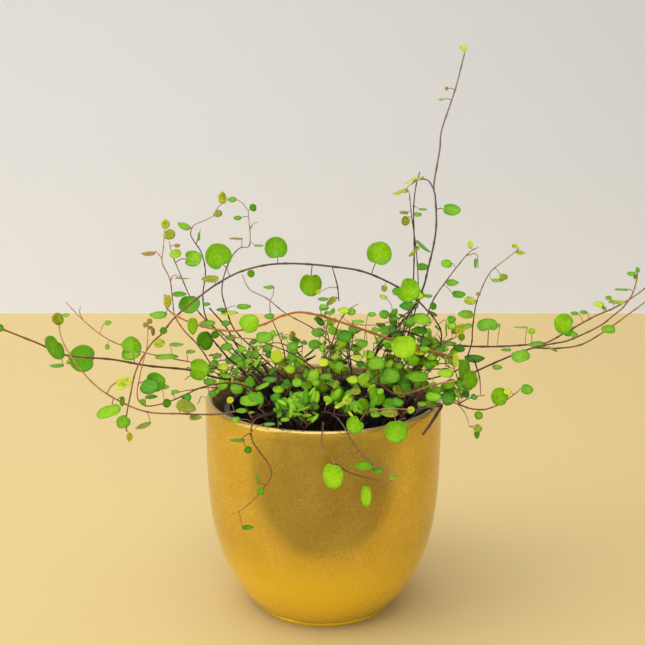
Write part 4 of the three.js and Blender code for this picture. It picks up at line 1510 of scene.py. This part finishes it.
SMALL_LEAVES = [
    (-164, -94, 64, 4.1, 4.1, 0, 0.14), (-140, -76, 39, 7.4, 2.1, 0, 0.42),
    (-135, -91, 68, 5.6, 6.6, 0, 0.88), (-131, -91, 70, 3.6, 2, 0, 0.42), (-131, -90, 45, 2.6, 2.6, 0,
    0.88), (-106, -80, 21, 2.1, 5.3, 0, 0.42), (-96, -73, 5, 8.6, 2.7, 20, 0.88), (-75, -64, 13, 10.9,
    6.5, -20, 0.88), (-70, -62, 6, 6.6, 2.7, 0, 0.88),
    (-121, -30, 51, 4, 2.8, 0, 0.42), (-122, -29, 37, 2.8, 3.4, 0, 0.42), (-113, -27, 38, 4.5, 1.7, 0,
    0.42), (-110, -26, 32, 10.8, 7.4, 0, 0.42), (-85, -17, 35, 8.1, 2.3, 0, 0.42), (-91, -19, 28, 13.3,
    3.5, 0, 0.42), (-77, -14, 30, 5.2, 2.3, 0, 0.42), (-59, -4, 18, 6.5, 4.7, 0, 0.7),
    (-108, -67, 5, 7.6, 7.1, 0, 0.42), (-105, -68, -3, 2.7, 4.9, 0, 0.77), (-90, -49, 44, 6.6, 4.9, 0,
    0.82), (-88, -44, 50, 3.9, 4.4, 0, 0.42), (-41, -18, 77, 4, 4.5, 0, 0.42), (-63, -24, 75, 9.6, 4.5,
    0, 0.88), (-3, -12, 65, 3.5, 2.9, 0, 0.82), (0, -13, 61, 5.8, 2.3, 0, 0.42), (35, -11, 67, 3.5, 4,
    0, 0.88), (42, -11, 65, 5.2, 4.6, 0, 0.42), (74, -9, 48, 5.2, 4.7, 0, 0.42), (5, -13, 60, 6.9, 3.5,
    40, 0.88),
    (-93, -70, 26, 10.7, 8.6, 0, 0.14), (-97, -69, 17, 3.2, 3.2, 0, 0.42), (-93, -66, 19, 6.5, 2.2, 0,
    0.42), (-86, -61, 23, 4.4, 2.7, 0, 0.42), (-85, -62, 14, 4.9, 4.9, 0, 0.14), (-81, -57, 19, 4.4,
    2.2, 0, 0.42), (-75, -55, 15, 5.5, 5, 0, 0.14), (-90, -69, 56, 1.6, 4.3, 0, 0.97),
    (-90, -44, 59, 9.4, 4.4, 0, 0.42), (-85, -44, 67, 3.3, 7.1, 0, 0.77), (-72, -43, 53, 5, 9.4, 0,
    0.6), (0, -32, 60, 5.6, 2.8, 0, 0.42), (27, -30, 56, 4.5, 2.8, 0, 0.42), (0, -32, 61, 5.1, 2.8, 0,
    0.42), (19, -30, 52, 6.8, 2.3, 0, 0.42), (29, -30, 47, 4.5, 3.4, 0, 0.42), (22, -30, 39, 6.8, 4.5,
    0, 0.42), (80, -27, 23, 8, 13.7, 0, 0.5), (75, -27, 29, 2.9, 8, 0, 0.77), (73, -25, 9, 8.6, 6.9, 0,
    0.14),
    (-85, 4, 60, 8.3, 3.5, 0, 0.42), (-91, 1, 102, 4.6, 5.8, 0, 0.77), (-89, 1, 96, 7, 6.4, 0, 0.88),
    (-101, 1, 85, 8.1, 2.9, 0, 1), (-71, 7, 31, 9, 11.4, 0, 0.3), (-66, 9, 16, 6, 4.2, 0, 0.42),
    (-82, 19, 98, 8.3, 4.2, -25, 0.42), (-59, 16, 115, 4.7, 7.1, 0, 0.82), (-62, 16, 106, 5.3, 4.7, 0,
    0.88), (-74, 19, 92, 1.8, 4.8, 0, 0.42), (-71, 23, 50, 4.9, 2.4, 0, 0.42), (-42, 24, 18, 6.1, 5.5,
    0, 0.42),
    (-86, 11, 88, 3.5, 2.4, 0, 0.97), (-87, 11, 83, 7.1, 5.9, 0, 0.6), (-84, 12, 68, 8.9, 1.2, 0, 0.42),
    (-69, 15, 40, 9.6, 4.2, 0, 0.42), (-65, 15, 33, 4.8, 4.8, 0, 0.14), (-58, 16, 25, 7.3, 4.8, 0,
    0.42), (-53, 16, 17, 8.5, 6.1, 0, 0.42),
    (-54, 26, 113, 5.4, 3.6, 0, 0.42), (-42, 26, 108, 4.2, 4.8, 0, 0.42), (-51, 26, 102, 4.8, 3, 0,
    0.42), (-52, 28, 89, 7.9, 1.8, 0, 1), (-39, 27, 85, 5.4, 1.8, 0, 0.42), (-62, 30, 45, 6.1, 2.5, 0,
    0.14), (-58, 30, 43, 10.4, 3.1, 0, 0.7), (-49, 30, 47, 8.6, 3.7, 0, 0.42),
    (-31, -9, 67, 6.4, 2.3, 0, 0.42), (-31, -9, 50, 5.8, 3.5, 0, 0.42), (-27, -9, 26, 7.6, 8.2, 0, 0.7),
    (-18, -9, 39, 3.5, 4.1, 0, 0.88),
    (-34, -24, 41, 10.3, 6.8, 0, 0.42), (-18, -21, 35, 6.9, 5.2, 0, 0.42),
    (-57, -6, 45, 5.3, 3.5, 0, 0.14), (-54, -4, 36, 6.5, 3.5, 0, 0.2),
    (-3, 5, 37, 8.3, 6, 0, 0.42), (-5, 6, 29, 8.3, 6, 0, 0.42), (9, 6, 27, 4.8, 3.6, 0, 0.42),
    (48, 21, 119, 4.7, 3, 0, 0.42), (48, 21, 106, 5.3, 2.4, 0, 0.97), (49, 21, 101, 4.8, 6, 0, 0.88),
    (59, 22, 86, 10.8, 3, -40, 0.42), (59, 22, 73, 7.2, 4.8, 0, 0.42),
    (55, 13, 106, 4.7, 2.9, 0, 0.42), (58, 13, 109, 4.7, 1.8, 0, 0.42), (54, 15, 84, 8.3, 2.4, 45,
    0.88), (51, 17, 50, 9.6, 6, 0, 0.14), (51, 17, 39, 7.2, 4.2, 0, 0.2),
    (70, -15, 82, 6.9, 5.1, 0, 0.42), (83, -15, 93, 2.3, 5.1, 0, 0.77), (86, -17, 83, 1.1, 5.7, 0,
    0.42), (73, -14, 71, 7.4, 4, 0, 0.42), (77, -14, 64, 7.5, 4.6, 0, 0.42), (63, -13, 57, 4, 4.6, 0,
    0.14), (57, -12, 49, 10.4, 7.5, 0, 0.5), (56, -12, 42, 9.9, 4.6, 0, 0.14),
    (88, 18, 53, 7.2, 5.4, 0, 0.82), (93, 19, 57, 3, 2.4, 0, 1), (86, 17, 45, 9, 5.4, 0, 0.42), (85, 15,
    38, 9.6, 3.6, 15, 0.6), (90, 11, 19, 12.1, 4.8, 0, 0.1), (108, 22, 67, 5.4, 4.2, 0, 0.88), (104, 21,
    65, 7.2, 2.4, 0, 0.42), (115, 25, 85, 4.2, 3, 0, 0.82), (118, 25, 81, 5.4, 3, 0, 0.77), (91, 11, 19,
    8.4, 4.8, 0, 0.14),
    (61, 0, 60, 4.7, 2.3, 0, 0.42), (36, 4, 48, 5.9, 5.3, 0, 0.42), (39, 5, 38, 11.3, 5.9, 0, 0.42),
    (66, -1, 173, 2.8, 1.7, 0, 0.42), (69, -1, 179, 2.2, 2.2, 0, 0.97), (78, 1, 201, 4.5, 3.9, 0, 0.82),
    (103, 6, 41, 4.2, 2.4, 0, 0.42), (61, 2, 33, 5.3, 3, 0, 0.42), (72, 4, 30, 11.9, 3.6, 0, 0.42), (82,
    5, 34, 4.2, 4.8, 0, 0.42), (81, 5, 27, 7.2, 4.8, 0, 0.1), (123, 3, 38, 4.2, 4.2, 0, 0.6), (117, 4,
    40, 8.3, 1.2, 0, 0.42), (127, 2, 30, 10.7, 4.2, 0, 0.42), (109, 5, 26, 6, 1.8, 0, 0.42), (143, -3,
    39, 7.1, 5.9, 0, 0.42), (146, -6, 51, 4.7, 2.3, 0, 0.42), (151, -7, 52, 4.7, 2.3, 0, 0.42), (159,
    -9, 57, 6.4, 3.5, 0, 0.7), (162, -10, 55, 2.9, 2.3, 0, 0.42), (169, -12, 59, 9.2, 2.9, 0, 0.82),
    (164, -11, 61, 4, 2.9, 0, 0.42),
    (12, -15, 55, 6.9, 4, 0, 0.7), (16, -15, 54, 5.2, 4.6, 0, 0.42), (12, -17, 40, 9.2, 6.9, 0, 0.14),
    (101, -11, 20, 5.8, 2.9, 0, 0.42), (133, -12, 31, 7, 1.7, -25, 0.88), (144, -17, 41, 4.6, 3.5, 0,
    0.42), (161, -28, 47, 7.9, 5.1, 0, 0.42), (168, -24, 69, 7.4, 1.7, 0, 0.42), (173, -24, 78, 5.1,
    2.8, 0, 0.42), (176, -24, 80, 1.7, 3.4, 0, 0.42), (175, -24, 76, 1.7, 2.3, 0, 0.42), (81, -13, 8,
    4.7, 4.1, 0, 0.42),
    (101, -54, 18, 4.4, 3.3, 0, 0.77), (111, -56, 20, 7.1, 5.5, 0, 0.42), (84, -44, 12, 3.9, 3.4, 0,
    0.1), (87, -43, 1, 4.5, 5.1, 0, 0.42),
    (83, -69, 2, 4.9, 4.3, 0, 0.88), (83, -69, -1, 3.3, 4.9, 0, 0.42),
]

MOUND_LEAVES = [
    (44.5, 8, 120, 8, 3, 20, 0.8), (50.5, 8, 126.5, 7, 2, 30, 0.76), (55, 6, 128, 7, 2, 20, 0.84),
    (-45, -82, 0, 8, 1.5, 0, 0.14), (-40, -82, -5.5, 4, 4, 0, 0.1), (-35, -83, -22, 1.5, 5, 0, 0.14),
    (-33.5, -83, -28.5, 4, 4, 0, 0.45), (-41, -85, -48.5, 6, 2, 0, 0.14), (22, -82, -14.5, 10, 4, 0, 0.45),
    (29.5, -82, -17, 6, 3, 0, 0.4), (37.5, -83, -20.5, 5, 3, 0, 0.88), (22.5, -84, -30.5, 5.5, 12, 0, 0.5),
    (-92, -67, 61, 3, 3, 0, 0.98), (-94.5, -67, 59, 2.5, 3, 0, 0.95), (-91.5, -67, 57.5, 2.5, 2, 0, 1.0),
    (3, -30, 57, 6, 2, 0, 0.42), (0, -30, 28, 6, 5, 0, 0.7), (2, -30, 20, 7, 3.5, 0, 0.42), (-46, -30,
    36, 5, 4, 0, 0.42), (-50, -30, 22, 4, 4, 0, 0.2), (-42, -30, 29, 5, 3, 0, 0.42), (-65, -30, 17, 7,
    4, 0, 0.42), (-49, -30, 13, 8, 7, 0, 0.42), (-30, -30, 18, 8, 3, 0, 0.14), (-15, -30, 16, 6, 5, 0,
    0.42), (-21, -30, 16, 4, 4, 0, 0.1), (-41, -44, 10, 13, 6, 0, 0.5), (-52, -44, 10, 4, 4, 0, 0.77),
    (-44, -66, 11, 6, 2.5, 0, 0.42), (-47, -66, 6, 5, 3, 0, 0.42), (-13, -44, 12, 9, 6, 0, 0.42), (-21,
    -66, 6, 5, 2, 0, 0.42), (-29, -76, 7, 6, 1.5, 0, 0.42), (-4, -30, 16, 5, 4, 0, 0.42), (36, -30, 38,
    4, 4, 0, 0.14), (57, -30, 36, 6, 3, 0, 0.42), (9, -30, 26, 6, 5, 0, 0.42), (20, -30, 31, 6, 3, 0,
    0.7), (21, -30, 27, 5, 4, 0, 0.1), (30, -30, 27, 10, 8, 0, 0.42), (38, -30, 20, 11, 9, 0, 0.42),
    (43, -30, 26, 4, 4, 0, 0.42), (54, -30, 20, 13, 6, 0, 0.42), (70, -30, 22, 9, 5, 0, 0.6), (6, -30,
    16, 8, 3, 0, 0.42), (17, -30, 18, 7, 4.5, 0, 0.7), (18, -30, 11, 6, 4, 0, 0.77), (30, -44, 12, 9,
    10, 0, 0.5), (22, -44, 6, 8, 10, 0, 0.5), (15, -44, 10, 5, 4, 0, 0.42), (36, -66, 10, 10, 4, 0,
    0.88), (28, -66, 9, 6, 3, 0, 0.42), (47, -30, 15, 7, 4, 0, 0.1), (61, -44, 12, 9, 5, 0, 0.42), (60,
    -44, 8, 7, 5, 0, 0.42), (55, -44, 8, 6, 2.5, 0, 0.42),
]


@dataclass
class Foliage:
    """The small leaves, one piece for each runner that they hang on; those on the mound's twigs share one
    piece, and all share one when there is a prefix.
    """

    runners: Sequence[Runner]
    rows: Sequence[tuple[float, ...]]
    prefix: str = ""

    def leaf(self, row: tuple[float, ...]) -> tuple[Runner, Leaf]:
        """Hangs a small leaf on the nearest stem.

        Args:
            row: (x, y, height, how wide and how tall it shows from the front, turn in degrees, age).

        Returns:
            The runner and the leaf.
        """
        x, y, h, wide, tall, turn, age = row
        middle = Vector((x, y, h + RIM_LEVEL))
        runner = min(self.runners, key=lambda r: (r.nearest(middle) - middle).length)
        on = runner.nearest(middle)
        rng = random.Random(f"{row}")
        size = max(wide, tall)
        ratio = min(wide, tall) / size
        narrow = ratio < 0.7
        shape = 0.62 + 0.38 * ratio if narrow else rng.uniform(0.94, 1.04)
        lean = math.acos(min(1.0, ratio / shape if narrow else ratio))
        flat = wide >= tall
        front = Vector((0, -math.cos(SIGHT), math.sin(SIGHT)))
        up = Vector((0, math.sin(SIGHT), math.cos(SIGHT)))
        side = Vector((1, 0, 0))
        if turn:
            roll = Matrix.Rotation(math.radians(turn), 3, front)
            up.rotate(roll)
            side.rotate(roll)
        tip = up if flat else side * (1 if x >= on.x else -1)
        facing = (front * math.cos(lean) + tip * math.sin(lean)).normalized()
        pointing = None
        if narrow:
            pointing = side if flat else up
            if pointing.dot(middle - on) < 0:
                pointing = -pointing
        blade = Blade(
            size * (shape if narrow else 1.0),
            size if narrow else size * shape,
            age + rng.uniform(-0.14, 0.05) if 0.25 < age < 0.6 else age + rng.uniform(-0.02, 0.02),
            cup=rng.uniform(0.0, 0.12) if narrow else rng.uniform(0.02, 0.18),
            fold=rng.uniform(0.0, 0.12),
            wave=rng.uniform(0.0, 0.05),
            phase=rng.uniform(0, 6),
            detail=6 if size > 7 else 4,
            point=0.16 if narrow else 0.05,
        )
        return runner, Leaf(middle, on, facing, blade, runner.thickness * 0.35, 0.2, pointing)

    def build(self) -> None:
        """Makes a piece for each runner that carries small leaves, one shared piece for the mound's twigs, or
        one for all when there is a prefix.
        """
        hung: dict[str, list[Leaf]] = {}
        for row in self.rows:
            runner, leaf = self.leaf(row)
            name = "mound" if runner.name.startswith("mound_twig") or self.prefix else runner.name
            hung.setdefault(name, []).append(leaf)
        for name, leaves in hung.items():
            leaf_piece(leaves, f"{self.prefix}leaves_{name}")


@dataclass
class Studio:
    """A pale table and wall, soft lights, and the camera. Sizes are metres."""

    # painted shade: the table is painted darker towards the front and the wall darker upwards, where less
    # light falls
    table_near: str = "#CEB67E"
    table_far: str = "#E3CA90"
    wall_low: str = "#DFE2EA"
    wall_high: str = "#C2C7CF"
    card: str = "#72646E"
    room: str = "#F4F3F0"
    room_strength: float = 0.5
    half_width: float = 3.0
    front_edge: float = -2.6
    wall_at: float = 0.766
    wall_top: float = 2.4
    card_at: Place = (0.0, -0.48, 0.004)
    card_half: tuple[float, float] = (0.34, 0.355)
    lens: float = 66.98
    camera_at: Place = (-0.0005, -0.6845, 0.340)
    looks_down: float = 13.63  # degrees

    def stand(self, bm: bmesh.types.BMesh, name: str, material: bpy.types.Material) -> bpy.types.Object:
        """Stands a mesh in the studio, as staging.

        Args:
            bm: the mesh, which is freed.
            name: its name.
            material: its material.

        Returns:
            The staged object.
        """
        mesh = bpy.data.meshes.new(name)
        bm.to_mesh(mesh)
        bm.free()
        mesh.materials.append(material)
        stood = bpy.data.objects.new(name, mesh)
        bpy.context.scene.collection.objects.link(stood)
        return stood

    def paper(self) -> bpy.types.Material:
        """Paints the backdrop.

        Returns:
            Matt paint in the table's colour, with painted shade that deepens it towards the front, and above
            it the wall's, with painted shade that darkens it upwards.
        """
        material, tree, shader = new_material("paper_backdrop_painted")
        place = add_node(tree, "TexCoord").outputs["Object"]
        level = add_node(tree, "SeparateXYZ", {"Vector": place})
        shares = []
        for axis, start, end in (("Y", -0.5, 0.76), ("Z", 0.0, 0.6), ("Z", 0.0, 0.001)):
            span = {"Value": level.outputs[axis], "From Min": start, "From Max": end}
            shares.append(add_node(tree, "MapRange", span).outputs[0])
        # painted shade on the table towards the front and on the wall upwards
        away, rise, above = shares
        table = {FACTOR: away, FIRST: linear(self.table_near), SECOND: linear(self.table_far)}
        wall = {FACTOR: rise, FIRST: linear(self.wall_low), SECOND: linear(self.wall_high)}
        low, high = (add_node(tree, "Mix", mix, data_type="RGBA").outputs[MIXED] for mix in (table, wall))
        tone = add_node(tree, "Mix", {FACTOR: above, FIRST: low, SECOND: high}, data_type="RGBA")
        feed(tree, shader, {"Base Color": tone.outputs[MIXED], "Roughness": 0.85})
        return material

    def backdrop(self) -> None:
        """Lays the table and stands the wall behind it."""
        bm = bmesh.new()
        at, seam = self.wall_at, 0.001
        profile = [(self.front_edge, 0.0), (at, 0.0), (at + seam, seam), (at + seam, self.wall_top)]
        corners = [bm.verts.new((-self.half_width, y, z)) for y, z in profile]
        edges = [bm.edges.new(pair) for pair in zip(corners, corners[1:])]
        swept = bmesh.ops.extrude_edge_only(bm, edges=edges)["geom"]
        moved = [v for v in swept if isinstance(v, bmesh.types.BMVert)]
        bmesh.ops.translate(bm, vec=(2 * self.half_width, 0, 0), verts=moved)
        self.stand(bm, "backdrop", self.paper())

    def flag(self) -> None:
        """Lays a dark card on the table in front, out of the camera's sight, for the glaze to mirror."""
        bm = bmesh.new()
        bmesh.ops.create_grid(bm, x_segments=1, y_segments=1, size=1.0)
        size = Matrix.Diagonal((*self.card_half, 1, 1))
        bmesh.ops.transform(bm, matrix=Matrix.Translation(self.card_at) @ size, verts=bm.verts)
        felt, tree, shader = new_material("felt_dark_brown")
        feed(tree, shader, {"Base Color": linear(self.card), "Roughness": 1.0})
        flag = self.stand(bm, "flag", felt)
        flag.visible_camera = False
        flag.visible_diffuse = False
        flag.visible_shadow = False

    def light(
        self, name: str, place: Sequence[float], size: float, watts: float, code: str
    ) -> bpy.types.Object:
        """Hangs a square softbox that faces the pot.

        Args:
            name: its name.
            place: where it hangs, in metres.
            size: its side, in metres.
            watts: its power.
            code: its colour, as sRGB hex.

        Returns:
            The light.
        """
        data = bpy.data.lights.new(name, "AREA")
        data.size = size
        data.energy = watts
        data.color = linear(code)[:3]
        lamp = bpy.data.objects.new(name, data)
        lamp.location = place
        aim = Vector((0, 0, 0.12)) - Vector(place)
        lamp.rotation_euler = aim.to_track_quat("-Z", "Y").to_euler()
        bpy.context.scene.collection.objects.link(lamp)
        return lamp

    def camera(self) -> None:
        """Stands the camera in front, looking a little down."""
        data = bpy.data.cameras.new("camera")
        data.lens = self.lens
        data.sensor_width = 36.0
        camera = bpy.data.objects.new("camera", data)
        camera.location = self.camera_at
        camera.rotation_euler = (math.radians(90 - self.looks_down), 0, 0)
        bpy.context.scene.collection.objects.link(camera)
        bpy.context.scene.camera = camera

    def build(self) -> None:
        """Sets the whole studio up."""
        self.backdrop()
        self.flag()
        self.light("overhead_softbox", (-0.25, -0.2, 1.5), 1.6, 17.6, "#FFFDF8")
        self.light("left_softbox", (-1.4, -0.6, 0.7), 1.2, 9.3, "#FFFFFF")
        fill = self.light("low_front_fill", (0.1, -1.3, 0.35), 1.0, 7.0, "#FFFFFF")
        fill.visible_glossy = False
        self.camera()
        world = bpy.data.worlds.new("soft_room")
        world.use_nodes = True
        air = {"Color": linear(self.room), "Strength": self.room_strength}
        feed(world.node_tree, world.node_tree.nodes["Background"], air)
        bpy.context.scene.world = world
        bpy.context.scene.view_settings.view_transform = "Standard"


def dress_nursery_pot() -> None:
    """Gives the frame's own nursery pot its plastic; its shape needs nothing more."""
    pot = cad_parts["nursery_pot"]
    pot.data.materials.clear()
    pot.data.materials.append(made(PLASTIC))
    log.info("nursery_pot: %d faces", len(pot.data.polygons))


def main() -> None:
    """Builds the studio and every piece of the plant."""
    logging.basicConfig(level=logging.INFO, format="%(message)s")
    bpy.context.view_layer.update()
    Studio().build()
    CoverPot().build()
    dress_nursery_pot()
    SoilBed().build()
    for runner in RUNNERS + EXTRA_RUNNERS:
        runner.build_stem()
        runner.build_frame_leaves()
        if runner.name.startswith("back"):
            rng = random.Random(runner.name)
            leaf_piece(alternate_leaves(runner, rng, 6.5, 10.5), f"leaves_{runner.name}")
    sectors = Thicket().grow()
    for i, twigs in enumerate(sectors, 1):
        for bark in (Bark.OLD, Bark.YOUNG):
            own = [twig for twig in twigs if twig.bark is bark]
            stems_piece(own, f"mound_stems_{bark.name.lower()}_{i}", bark)
        rng = random.Random(i)
        leaves = [leaf for twig in twigs for leaf in alternate_leaves(twig, rng, 7.5, 11.5, 0.35)]
        leaf_piece(leaves, f"mound_leaves_{i}")
    for spray in SPRAYS:
        spray.build()
    stems_piece(Tangle().grow(), "tangle_stems", Bark.OLD)
    front = [r for r in RUNNERS + EXTRA_RUNNERS if not r.name.startswith("back")]
    Foliage(front, SMALL_LEAVES).build()
    mound = [twig for twigs in sectors for twig in twigs]
    Foliage(front + mound, MOUND_LEAVES, "near_").build()


if __name__ == "__main__":
    main()
